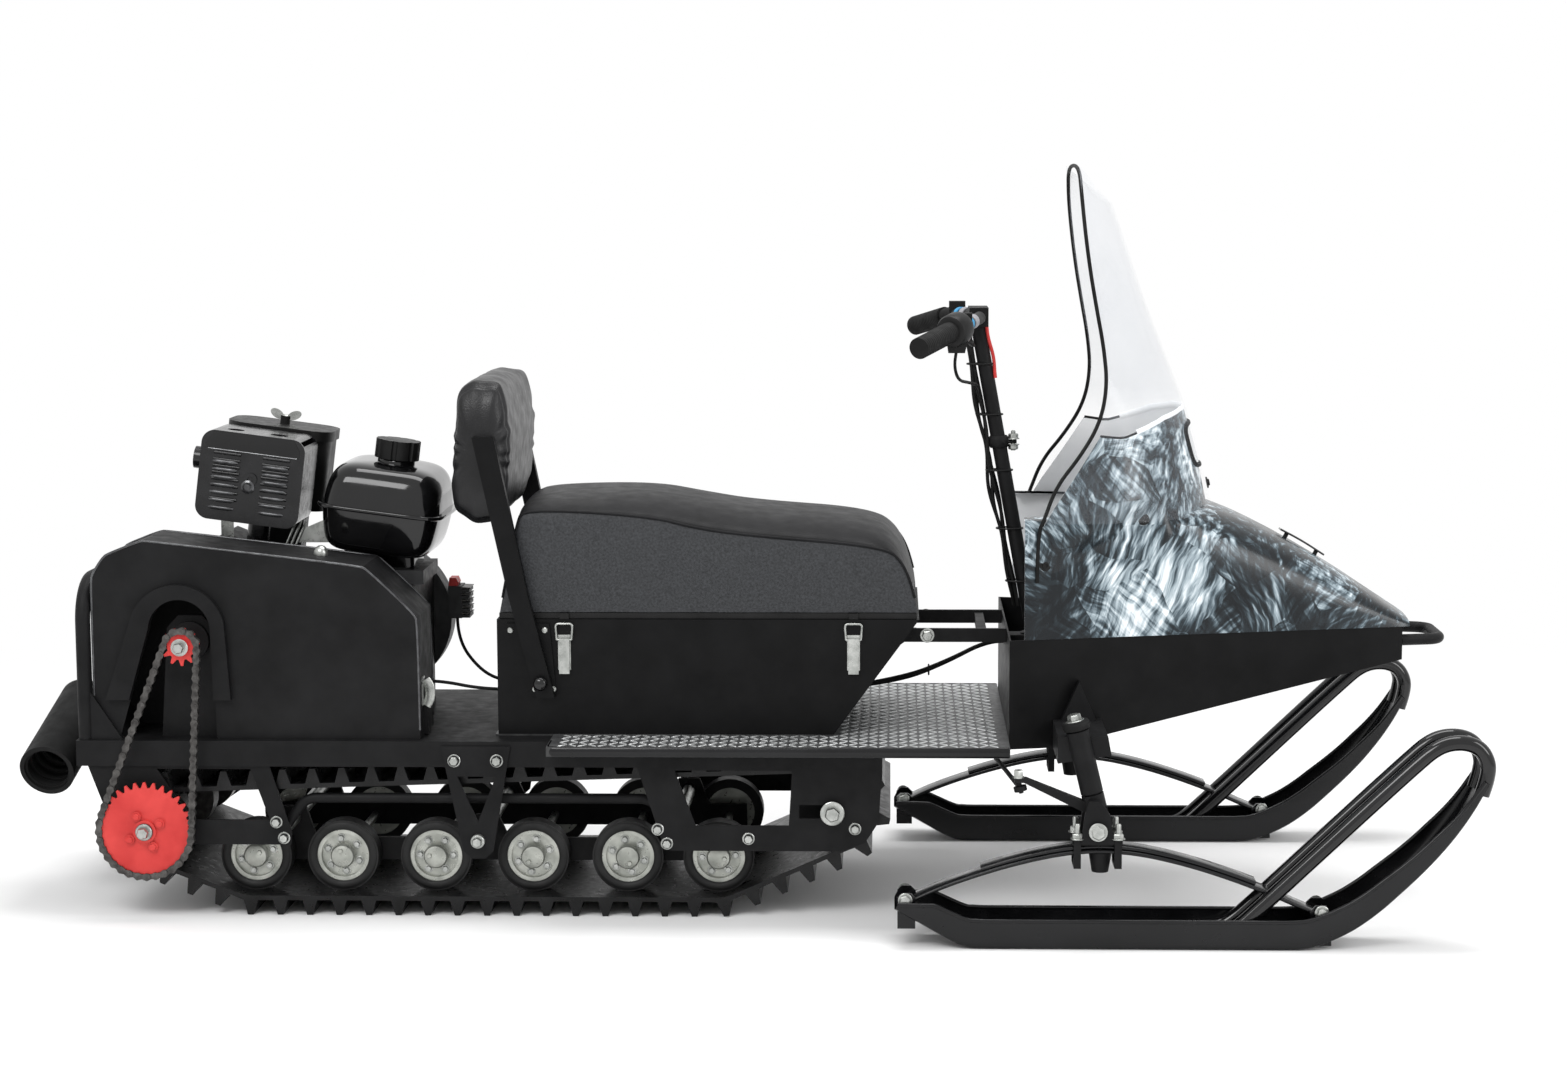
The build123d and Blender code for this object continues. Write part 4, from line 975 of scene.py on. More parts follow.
@dataclass
class Nose(Group):
    """Printed hood with its pale lining, the clear screen, its edge trim and screws.

    Args:
        seam: Height of the hood's lower edge.
        sections: Station, corner heights and insets, and roof height of each section.
        cowl: Height, edge station, half width and front station of each arc.
        brow_at: Shares of the way from the middle to the side.
        brow_z: Brow height at those shares.
        screen: Arcs of the screen, as for the cowl.
        low_trim: Trim below the screen, X and Z.
        screws: Side screws, X and Z.
        strip: Line of the nose strip.
    """

    seam: float = 0.4925
    sections: Line = (
        (0.506, 0.690, 0.012, 0.700, 0.018, 0.700), (0.790, 0.680, 0.014, 0.706, 0.040, 0.712),
        (0.853, 0.650, 0.014, 0.698, 0.070, 0.708), (1.011, 0.585, 0.012, 0.620, 0.060, 0.627),
        (1.190, 0.500, 0.006, 0.505, 0.040, 0.507))
    cowl: Line = (
        (0.575, 0.516, 0.252, 0.850), (0.664, 0.526, 0.250, 0.848), (0.690, 0.540, 0.246, 0.842),
        (0.770, 0.588, 0.232, 0.824), (0.857, 0.636, 0.214, 0.797))
    brow_at: Row = (0.0, 0.25, 0.5, 0.7, 0.85, 1.0)
    brow_z: Row = (0.874, 0.872, 0.862, 0.845, 0.833, 0.838)
    screen: Line = (
        (0.692, 0.536, 0.2545, 0.8505), (0.735, 0.546, 0.2470, 0.8410), (0.765, 0.566, 0.2400, 0.8330),
        (0.807, 0.603, 0.2310, 0.8210), (0.856, 0.634, 0.2220, 0.8080), (0.900, 0.646, 0.2190, 0.7910),
        (0.955, 0.647, 0.2160, 0.7700), (1.054, 0.628, 0.2100, 0.7300), (1.140, 0.613, 0.2060, 0.7010),
        (1.221, 0.604, 0.2000, 0.6730), (1.300, 0.597, 0.1920, 0.6440))
    low_trim: Line = ((0.527, 0.590), (0.528, 0.640), (0.531, 0.682))
    screws: Line = ((0.541, 0.620), (0.712, 0.694))
    strip: Line = ((0.972, 0.0, 0.654), (1.010, 0.0, 0.634), (1.050, 0.0, 0.608))

    @staticmethod
    def half_at(x: np.ndarray | float) -> np.ndarray | float:
        """Half width of the nose: the rear's, less the taper times the way forward.

        Args:
            x: Station along the machine.

        Returns:
            Half width there.
        """
        return 0.2695 - 0.241 * (x - 0.480)

    def side_at(self, x: float, z: float) -> float:
        """Distance of the hood's side from the middle plane: the half width, less a little with height.

        Args:
            x: Station along the machine.
            z: Height.

        Returns:
            The distance.
        """
        return float(self.half_at(x)) - 0.012 * (z - self.seam) / 0.2

    def build(self) -> None:
        """Make the hood, the screen and their trim."""
        self._hood()
        self._screen()
        self._screws()
        self._lamp_rim()

    def _shell(self, inset: float) -> Patch:
        """Wedge of the hood.

        The corners of each section are cut round four times, and the faces of the mouth behind the lamp are left
        out.

        Args:
            inset: Distance inside the outer skin.

        Returns:
            The open sheet.
        """
        rows = smooth_line(self.sections, 80, rounds=2)
        x, z1, in1, z2, in2, z3 = rows.T
        w = self.half_at(x) - inset
        zero = np.zeros_like(x)
        corner = np.stack([np.stack([-w, zero + self.seam], 1), np.stack([-w + in1, z1 - inset], 1),
                           np.stack([-w + in2, z2 - inset], 1), np.stack([zero, z3 - inset], 1),
                           np.stack([w - in2, z2 - inset], 1), np.stack([w - in1, z1 - inset], 1),
                           np.stack([w, zero + self.seam], 1)], 1)
        line = corner
        for _ in range(4):
            cut = np.stack([0.75 * line[:, :-1] + 0.25 * line[:, 1:], 0.25 * line[:, :-1] + 0.75 * line[:, 1:]], 2)
            line = np.concatenate([line[:, :1], cut.reshape(len(x), -1, 2), line[:, -1:]], 1)
        shell = Patch.grid(np.stack([np.broadcast_to(x[:, None], line.shape[:2]), line[..., 0], line[..., 1]], -1))
        middle = shell.verts[shell.quads].mean(1)
        mouth = (middle[:, 0] < 0.76) & (np.abs(middle[:, 1]) < 0.21) & (middle[:, 2] > 0.68)
        return Patch(shell.verts, shell.quads[~mouth], shell.tris)

    @staticmethod
    def _bow(rows: np.ndarray, shrink: float, count: int = 49) -> np.ndarray:
        """Arcs through both side edges and the front of each row.

        With rise = front - edge, the radius is (half squared + rise squared) / (2 rise).

        Args:
            rows: Height, edge station, half width and front station.
            shrink: Distance inside the outer skin.
            count: Points of an arc.

        Returns:
            Grid of points.
        """
        z, edge, half, front = rows.T
        half, front = half - shrink, front - shrink
        rise = front - edge
        radius = (half ** 2 + rise ** 2) / (2 * rise)
        reach = np.arctan2(half, radius - rise)
        reach = np.where(reach < 0, reach + math.pi, reach)
        angle = np.linspace(-1, 1, count)[None] * reach[:, None]
        x = (front - radius)[:, None] + radius[:, None] * np.cos(angle)
        return np.stack([x, radius[:, None] * np.sin(angle), np.broadcast_to(z[:, None], x.shape)], -1)

    def _cowl(self, inset: float) -> np.ndarray:
        """Skin of the cowl: arcs that grow out of the hood's side above a sloping crease, up to the brow line.

        Args:
            inset: Distance inside the outer skin.

        Returns:
            Grid of points.
        """
        sheet = self._bow(smooth_line(self.cowl, 48, rounds=2), inset)
        x, y, z = np.moveaxis(sheet, -1, 0)
        flank = self.half_at(x) - 0.012 * (z - self.seam) / 0.2 - inset - 0.0015
        rise = np.clip((z - 0.615 - 0.538 * (x - 0.594)) / 0.07, 0, 1)
        fade = rise * rise * (3 - 2 * rise)
        wide = np.abs(y)
        wide = np.where(wide > flank, flank + (wide - flank) * fade, wide)
        brow = np.interp(np.abs(np.linspace(-1, 1, x.shape[1])), self.brow_at, self.brow_z)
        high = 0.72 + (z - 0.72) * (brow[None] - 0.72) / (self.cowl[-1][0] - 0.72)
        return np.stack([x, np.sign(y) * wide, np.where(z > 0.72, high, z)], -1)

    def _hood(self) -> None:
        """Skin, lining, edge and band: the same shell and cowl at three insets."""
        skin = Patch.joined(self._shell(0.0), Patch.grid(self._cowl(0.0)))
        hood = skin.piece("hood_skin", Body.CHASSIS, "hood_print", self.finishes.hood_print(), 50)
        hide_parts("hood")
        inner = Patch.joined(self._shell(0.004), Patch.grid(self._cowl(0.004)))
        self.add(inner, "hood_lining", "hood_print", LINER, 50)
        edge = self._cowl(0.002)[-1]
        wings = Patch.joined(Patch.swept(edge[:8], 0.0026, 8), Patch.swept(edge[-8:], 0.0026, 8))
        self.add(wings, "hood_edge", "black_rubber", RUBBER)
        self.add(Patch.swept(edge[6:-6], 0.0026, 10, 2.4), "hood_band", "hood_print", LINER)

    def _screen(self) -> None:
        """Clear sheet and its trim.

        Arcs at two insets are joined at their edges; a parabola across the sheet dips its top. The trim is swept up
        one edge, over the top and down the other.
        """
        rows = smooth_line(self.screen, 60, rounds=2)
        outer, inner = self._bow(rows, 0.0), self._bow(rows, 0.003)
        for sheet in (outer, inner):
            middle = 1 - (sheet[..., 1] / np.abs(sheet[..., 1]).max(1, keepdims=True)) ** 2
            sheet[..., 2] -= 0.046 * middle * np.clip((sheet[..., 2] - 1.235) / 0.065, 0, 1)
        ring = np.concatenate([outer, inner[:, ::-1]], 1)
        screen = Patch.grid(ring, wrap_v=True).piece("screen_sheet", Body.CHASSIS, "clear_sheet",
                                                     self.finishes.clear_sheet(), 50)
        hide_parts("windshield")
        runs = []
        for side, column in ((-1, 0), (1, -1)):
            low = np.array([(x, side * (self.side_at(x, z) + 0.0015), z) for x, z in self.low_trim])
            runs.append(np.vstack([low, outer[:-2:6, column]]))
        crown = [(0.598, -0.172, 1.300), (0.600, 0.172, 1.300)]
        path = smooth_line(np.vstack([runs[0], crown, runs[1][::-1]]).tolist(), 320, rounds=3)
        trim = self.add(Patch.swept(path, 0.0034, 10, up=(1, 0.02, 0.15)), "screen_trim", "black_rubber", RUBBER)
        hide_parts("windshield_trim")

    def _screws(self) -> None:
        """Turned screws square to the hood, and the nose strip on its two feet."""
        screw = Patch.turned([(0.0105, 0), (0.0100, 0.0022), (0.0062, 0.0030), (0.0058, 0.0052), (0.0032, 0.0054),
                              (0.0030, 0.0038)], 24)
        spots = [(screw.copies((x, side * self.side_at(x, z), z), (0.24, side, 0.06))) for x, z in self.screws
                 for side in SIDES]
        spots.append(screw.copies((0.8405, 0.0, 0.737), (1, 0, 0.2)))
        feet = [Patch.turned([(0.004, -0.016), (0.004, 0.0), (0.003, 0.001)], 12).copies((x, 0.0, z), (0.45, 0, 0.9))
                for x, z in ((0.985, 0.646), (1.038, 0.615))]
        self.add(Patch.joined(*spots, *feet), "hood_screws", "black_plastic", PLASTIC, 35)
        self.add(Patch.ribbon(smooth_line(self.strip, 24), 0.012, 0.0016),
                 "nose_strip", "black_steel", GLOSS_BLACK, 50)

    def _lamp_rim(self) -> None:
        """Rubber rim round the lamp: a rounded rectangle laid on the cowl's front arc."""
        angle = np.arange(64) * math.pi / 32
        y = 0.083 * np.sign(np.cos(angle)) * np.abs(np.cos(angle)) ** 0.4
        rise = 0.037 * np.sign(np.sin(angle)) * np.abs(np.sin(angle)) ** 0.4
        x = 0.5899 + np.sqrt(0.2263 ** 2 - y ** 2) - 0.276 * rise
        self.add(Patch.swept(np.stack([x, y, 0.810 + rise], 1), 0.0040, 10, up=(1, 0, 0.2), closed=True),
                 "lamp_rim", "black_rubber", RUBBER, 50)


@dataclass
class Chain(Group):
    """Roller chain round the two sprockets, link by link.

    Args:
        wheels: X, Z and pitch radius of each sprocket.
        y: Chain's middle plane.
        pitch: Nominal pitch of the chain.
        thick: Thickness of a link plate.
    """

    wheels: Line = ((-1.017, 0.159, 0.08098), (-0.946, 0.483, 0.02817))
    y: float = -0.290
    pitch: float = 0.015875
    thick: float = 0.0017

    def _line(self) -> np.ndarray:
        """Pitch line of the chain.

        On each sprocket an arc runs between the outer tangent points, at the arc cosine of (r1 - r2) / distance from
        the line of centres.

        Returns:
            Points in X and Z.
        """
        (x1, z1, r1), (x2, z2, r2) = self.wheels
        way = math.atan2(z2 - z1, x2 - x1)
        lean = math.acos((r1 - r2) / math.hypot(x2 - x1, z2 - z1))
        low = np.linspace(way + lean, way + 2 * math.pi - lean, 200)
        high = np.linspace(way - lean, way + lean, 100)
        loop = np.vstack([arc(x1, z1, r1, low),
                          arc(x2, z2, r2, high)])
        return loop

    def build(self) -> None:
        """Lay the links: pins at even steps of the pitch line, and plates with half circles about the pins."""
        loop = self._line()
        closed = np.vstack([loop, loop[:1]])
        run = np.concatenate([[0.0], np.cumsum(np.linalg.norm(np.diff(closed, axis=0), axis=1))])
        count = 2 * round(run[-1] / self.pitch / 2)
        want = np.linspace(0, run[-1], count + 1)
        pins = np.stack([np.interp(want, run, closed[:, k]) for k in (0, 1)], 1)
        start, end = pins[:-1], pins[1:]
        pitch = float(np.linalg.norm(end - start, axis=1).mean())
        angle = np.linspace(-math.pi / 2, math.pi / 2, 9)
        r = 0.0066
        outline = np.vstack([np.stack([pitch / 2 + r * np.cos(angle), r * np.sin(angle)], 1), [[0.0, 0.0043]],
                             np.stack([-pitch / 2 - r * np.cos(angle), -r * np.sin(angle)], 1), [[0.0, -0.0043]]])
        faces = [np.column_stack([outline, np.full(len(outline), h)]) for h in (0, self.thick)]
        plate = Patch.capped(np.stack(faces))
        middle, lean = (start + end) / 2, np.arctan2(end[:, 1] - start[:, 1], end[:, 0] - start[:, 0])
        plates = []
        for side in SIDES:
            for odd, out in ((0, 0.0030), (1, 0.0050)):
                mid = middle[odd::2]
                level = self.y + side * out - (self.thick if side > 0 else 0.0)
                spots = at_y(mid, level)
                plates.append(plate.copies(spots, (0, -1, 0), lean[odd::2]))
        pin = Patch.turned([(0.0030, 0), (0.0030, 0.0135), (0.0022, 0.0142)], 12)
        spots = at_y(start, self.y + 0.0070)
        chain = self.add(Patch.joined(*plates, pin.copies(spots, (0, -1, 0))),
                         "chain_links", "bright_steel", CHAIN_STEEL, 35)
        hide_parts("drive_chain")


@dataclass
class Springs(Group):
    """Arched leaf springs of the skis, two leaves each.

    Args:
        main: Side view of the long leaf.
        short: Side view of the short leaf.
    """

    main: Line = (
        (0.301, 0.0695), (0.350, 0.0940), (0.410, 0.1165), (0.480, 0.1384), (0.550, 0.1549), (0.606, 0.1616),
        (0.650, 0.1616), (0.706, 0.1549), (0.780, 0.1369), (0.850, 0.1139), (0.910, 0.0905), (0.955, 0.0705),
        (1.000, 0.0515))
    short: Line = (
        (0.428, 0.1292), (0.480, 0.1455), (0.550, 0.1620), (0.606, 0.1687), (0.650, 0.1687), (0.706, 0.1620),
        (0.780, 0.1440), (0.850, 0.1210), (0.886, 0.1072))

    def build(self) -> None:
        """Make both springs as flat bars along two side-view lines."""
        for side, body, name in SKI_BODIES:
            leaves = []
            for points, half in ((self.main, 0.025), (self.short, 0.022)):
                line = smooth_line(points, 120, rounds=3)
                path = at_y(line, side * SKI_Y)
                leaves.append(Patch.ribbon(path, half, 0.0035))
            spring = self.add(Patch.joined(*leaves),
                              f"spring_leaves_{name}", "black_steel", SKI_STEEL, 50, body=body)
            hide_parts(f"leaf_spring_{name}")


@dataclass
class Skis(Group):
    """Pressed ski troughs with rolled edges, pin brackets and the double tube loops.

    Args:
        half: Half width.
        sheet: Sheet thickness.
        sole: Side view of the sole.
        wall_x: Stations of the wall heights.
        wall_h: Wall heights.
        loop: Side view of the tube loops.
        brackets: First and last X and Z of the pin brackets.
    """

    half: float = 0.050
    sheet: float = 0.004
    sole: Line = (
        (0.283, 0.066), (0.350, 0.028), (0.385, 0.008), (0.410, 0.0), (0.470, 0.0), (0.900, 0.0),
        (0.950, 0.0), (0.985, 0.004), (1.040, 0.028), (1.085, 0.060), (1.124, 0.096), (1.167, 0.138),
        (1.205, 0.182), (1.240, 0.232), (1.266, 0.282))
    wall_x: Row = (0.283, 0.330, 0.410, 0.960, 1.040, 1.120, 1.200, 1.266)
    wall_h: Row = (0.010, 0.040, 0.048, 0.048, 0.045, 0.037, 0.026, 0.010)
    loop: Line = (
        (0.790, 0.017), (0.825, 0.020), (0.850, 0.030), (0.880, 0.056), (1.150, 0.316), (1.186, 0.345),
        (1.222, 0.351), (1.252, 0.341), (1.266, 0.314), (1.263, 0.288), (1.255, 0.262))
    brackets: Line = ((0.288, 0.318, 0.030, 0.090), (0.976, 1.012, 0.004, 0.072))

    def build(self) -> None:
        """Make both skis."""
        for side, body, name in SKI_BODIES:
            self._ski(side * SKI_Y, body, name)

    def _ski(self, y: float, body: Body, name: str) -> None:
        """One ski.

        A trough section, with walls as high as the station asks, is swept along the sole; rims and loops are tubes
        along side-view lines.

        Args:
            y: Ski's middle plane.
            body: Its body.
            name: Its side.
        """
        line = smooth_line(self.sole, 150, rounds=3)
        path = at_y(line, y)
        over = side_normals(path)
        wall = np.interp(path[:, 0], self.wall_x, self.wall_h)
        w, t = self.half, self.sheet
        section = np.array([(-w, 0, 1), (-w, 0.008, 0), (0.0023 - w, 0.0023, 0), (0.008 - w, 0, 0), (-0.010, 0, 0),
                            (0.010, 0, 0), (w - 0.008, 0, 0), (w - 0.0023, 0.0023, 0), (w, 0.008, 0), (w, 0, 1),
                            (w - t, 0, 1), (w - t, 0.0095, 0), (w - 0.006, 0.006, 0), (w - 0.010, t, 0),
                            (0.010 - w, t, 0), (0.006 - w, 0.006, 0), (t - w, 0.0095, 0), (t - w, 0, 1)])
        rise = section[None, :, 1] + section[None, :, 2] * wall[:, None]
        rings = path[:, None] + section[None, :, :1] * np.array([0.0, 1.0, 0.0]) + rise[..., None] * over[:, None]
        steel = [Patch.grid(rings, wrap_v=True)]
        for edge in SIDES:
            rim = path + np.array([0.0, edge * (w - 0.002), 0.0]) + wall[:, None] * over
            steel.append(Patch.swept(rim, 0.0036, 10, up=(0, 1, 0)))
            for x0, x1, z0, z1 in self.brackets:
                cut = 0.25 * (x1 - x0)
                steel.append(Patch.slab([(x0, z0), (x1, z0), (x1, z1 - cut), (x1 - cut, z1), (x0 + cut, z1),
                                         (x0, z1 - cut)], y + edge * 0.027, y + edge * 0.031))
        ski = self.add(Patch.joined(*steel), f"ski_trough_{name}", "black_steel", SKI_STEEL, body=body)
        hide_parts(f"ski_{name}")
        bend = smooth_line(self.loop, 160, rounds=3)
        tubes = [Patch.swept(at_y(bend, y + gauge), 0.013, 18, up=(0, 1, 0))
                 for gauge in (-0.031, 0.031)]
        self.add(Patch.joined(*tubes), f"ski_loops_{name}", "black_steel", GLOSS_BLACK, 60, body=body)


@dataclass
class Engine(Group):
    """Pressed tank halves, louvres, wing nut, the drive cover's toggle, and tubes along the cover's edge in a lighter
    steel that paints their highlight.

    Args:
        tilt: Engine's tilt.
        tank: Tank's origin.
        guard: Muffler guard's origin.
        cleaner: Air cleaner's origin.
        lower: Rings of the lower tank half.
        upper: Rings of the upper tank half.
        flange: Rings of the flange.
        cover_edge: Side view of the drive cover's edge.
    """

    tilt: float = math.radians(7.5)
    tank: Point = (-0.634, 0.022, 0.692)
    guard: Point = (-0.863, -0.026, 0.752)
    cleaner: Point = (-0.850, 0.116, 0.752)
    lower: Line = (
        (-0.079, 0.020, 0.026), (-0.079, 0.066, 0.086), (-0.074, 0.086, 0.107), (-0.058, 0.0985, 0.1185),
        (-0.028, 0.104, 0.1245), (0.000, 0.107, 0.128))
    upper: Line = (
        (0.005, 0.107, 0.128), (0.030, 0.104, 0.1245), (0.054, 0.0985, 0.1195), (0.072, 0.086, 0.108),
        (0.080, 0.068, 0.090), (0.083, 0.040, 0.060), (0.084, 0.010, 0.016))
    flange: Line = (
        (-0.001, 0.106, 0.127), (-0.001, 0.114, 0.135), (0.0005, 0.1153, 0.1363), (0.0045, 0.1153, 0.1363),
        (0.006, 0.114, 0.135), (0.006, 0.106, 0.127))
    cover_edge: Line = (
        (-1.111, 0.390), (-1.111, 0.590), (-1.108, 0.603), (-1.088, 0.634), (-1.076, 0.640), (-1.024, 0.6605),
        (-1.010, 0.661), (-0.642, 0.618), (-0.628, 0.611), (-0.548, 0.534), (-0.543, 0.520), (-0.5415, 0.330))

    def tilted(self, patch: Patch, origin: Point) -> Patch:
        """Patch turned with the engine's tilt about Y and set at an origin.

        Args:
            patch: Patch in the tilted frame.
            origin: Origin of that frame.

        Returns:
            The patch in place.
        """
        c, s = math.cos(self.tilt), math.sin(self.tilt)
        turn = np.array([[c, 0, s], [0, 1, 0], [-s, 0, c]])
        return Patch(patch.verts @ turn.T + np.array(origin), patch.quads, patch.tris)

    @staticmethod
    def lofted(rows: np.ndarray, sides: int = 72, square: float = 0.36) -> Patch:
        """Rounded box: superellipse rings of given half widths, stacked up.

        Args:
            rows: Height, half width in X and half width in Y of each ring.
            sides: Points of a ring.
            square: Exponent of the superellipse, smaller for a squarer ring.

        Returns:
            The closed shape.
        """
        angle = np.arange(sides) * 2 * math.pi / sides
        cx = np.sign(np.cos(angle)) * np.abs(np.cos(angle)) ** square
        cy = np.sign(np.sin(angle)) * np.abs(np.sin(angle)) ** square
        z, w, d = np.asarray(rows).T
        rings = np.stack([w[:, None] * cx, d[:, None] * cy, np.repeat(z[:, None], sides, 1)], -1)
        return Patch.capped(rings)

    def build(self) -> None:
        """Make the tank, the louvres and the small fittings."""
        self._tank()
        self._guard()
        self._fittings()

    def _tank(self) -> None:
        """Tank halves, flange and foot as stacked superellipses, with a turned neck."""
        lower = self.lofted(smooth_line(self.lower, 30, rounds=2))
        upper = self.lofted(smooth_line(self.upper, 36, rounds=2))
        flange = self.lofted(np.array(self.flange))
        neck = Patch.turned([(0.034, 0.0), (0.034, 0.012), (0.032, 0.014), (0.030, 0.014)], 40)
        neck = neck.copies((0.008, -0.020, 0.078))
        shell = self.tilted(Patch.joined(lower, upper, flange, neck), self.tank)
        foot = self.lofted(np.array([(0.585, 0.060, 0.065), (0.622, 0.060, 0.065)]), 40, 0.2)
        foot = Patch(foot.verts + (-0.640, 0.025, 0.0), foot.quads, foot.tris)
        tank = self.add(Patch.joined(shell, foot), "tank_shell", "black_steel", GLOSS_BLACK, 45)
        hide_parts("fuel_tank")

    def _guard(self) -> None:
        """Louvres, screw, ridge and brow of the muffler guard.

        A louvre is a half round whose height falls to nothing at its ends. Louvres, screw and ridge share a lighter
        steel whose colour is a painted highlight.
        """
        u = np.linspace(-1, 1, 17)
        v = np.linspace(0, math.pi, 7)
        full = np.sqrt(1 - 0.98 * np.abs(u) ** 3.5)
        ridge = Patch.grid(np.stack([np.repeat(0.0235 * u[:, None], 7, 1), -0.0052 * full[:, None] * np.sin(v),
                                     0.0042 * full[:, None] * np.cos(v)], -1))
        rows = 0.0138 * (np.arange(7) - 3) - 0.016
        spots = np.array([(col, -0.0602, row) for col in (-0.047, 0.043) for row in rows])
        louvres = ridge.copies(spots)
        screw = Patch.turned([(0.0125, 0), (0.0120, 0.004), (0.0085, 0.0055), (0.0080, 0.002), (0.0052, 0.0022),
                              (0.0048, 0.006), (0.002, 0.0062)], 28).copies((-0.002, -0.0602, -0.014), (0, -1, 0))
        ridge_line = np.stack([np.linspace(-0.080, 0.080, 40), np.full(40, -0.0602), np.full(40, 0.0465)], 1)
        ridge_bar = Patch.swept(ridge_line, 0.0016, 8)
        brow = Patch.slab([(-0.083, 0.047), (0.083, 0.047), (0.083, 0.060), (0.072, 0.0775), (-0.072, 0.0775),
                           (-0.083, 0.060)], -0.0614, -0.058)
        self.add(self.tilted(brow, self.guard), "guard_brow", "muffler_steel", GLOSS_BLACK)
        # Louvres, screw and ridge bar in the lighter steel, whose colour paints their highlights.
        self.add(self.tilted(Patch.joined(louvres, screw, ridge_bar), self.guard),
                 "guard_louvres", "muffler_steel", PAINTED_HIGHLIGHT_STEEL)

    def _fittings(self) -> None:
        """Wing nut, dome nut, stay, toggle, and tubes swept along the cover's edge in a lighter steel as a painted
        highlight.
        """
        hub = Patch.turned([(0.0085, 0.082), (0.0085, 0.096), (0.005, 0.100)], 20)
        angle = np.linspace(0, 2 * math.pi, 25)
        wings = [Patch.slab(np.stack([side * 0.016 + 0.0125 * np.cos(angle[:-1]), 0.100 + 0.0085 * np.sin(angle[:-1])
                                      + 0.3 * 0.0125 * np.cos(angle[:-1]) * side], 1).tolist(), -0.0015, 0.0015)
                 for side in SIDES]
        nut = self.tilted(Patch.joined(hub, *wings), self.cleaner)
        dome = Patch.turned([(0.0125, 0), (0.0125, 0.006), (0.0105, 0.012), (0.0055, 0.0165), (0.001, 0.0175)], 24)
        stay = np.array([(-0.913, -0.052, z) for z in (0.600, 0.640, 0.700)])
        stay = Patch.swept(stay, 0.0115, 10, 0.14, (0, 1, 0))
        plate = Patch.slab([(-0.5418, 0.368), (-0.5395, 0.368), (-0.5395, 0.418), (-0.5418, 0.418)], -0.216, -0.194)
        lever = Patch.swept(smooth_line([(-0.537, -0.205, 0.412), (-0.529, -0.205, 0.400), (-0.529, -0.205, 0.378),
                                         (-0.536, -0.205, 0.366)], 24), 0.0085, 10, 0.28, (0, 1, 0))
        self.add(Patch.joined(nut, dome.copies((-0.723, -0.170, 0.627), (0.12, 0, 1)), stay, plate, lever),
                 "engine_fittings", "bright_steel", ZINC)
        self._trinkets()
        # Tubes along the cover's top edges in the lighter steel: a painted highlight line on the edges.
        edge_tubes = [Patch.swept(at_y(line, y), 0.0022, 8, up=(0, 1, 0))
                for line in (smooth_line(self.cover_edge, 160, rounds=2),) for y in (-0.2455, -0.0965)]
        self.add(Patch.joined(*edge_tubes), "cover_edge_painted_highlight", "black_steel", PAINTED_HIGHLIGHT_STEEL, 50)

    def _trinkets(self) -> None:
        """Carburettor linkage, bright fin edges and red plug of the rectifier, as thin plates and rods."""
        plate = Patch.slab([(-0.788, 0.636), (-0.716, 0.636), (-0.704, 0.664), (-0.724, 0.682), (-0.776, 0.660)],
                           -0.062, -0.059)
        rods = [Patch.swept(np.array([(x, -0.064, 0.630), (x + 0.010, -0.064, 0.652), (x + 0.020, -0.064, 0.674)]),
                            0.0022, 8, up=(0, 1, 0)) for x in (-0.806, -0.797, -0.788)]
        self.add(Patch.joined(plate, *rods), "carburettor_linkage", "bright_steel", ZINC)
        fins = [Patch.slab([(-0.521, z), (-0.5035, z + 0.0008), (-0.5035, z + 0.0020), (-0.521, z + 0.0028)],
                           0.131, 0.179) for z in 0.4775 + 0.012 * np.arange(5)]
        self.add(Patch.joined(*fins), "rectifier_fins", "bright_steel", CHAIN_STEEL)
        plug = Patch.slab([(-0.545, 0.5302), (-0.528, 0.5302), (-0.526, 0.536), (-0.530, 0.545), (-0.543, 0.545)],
                          0.134, 0.168)
        self.add(plug, "rectifier_plug", "red_paint", RED_PAINT)


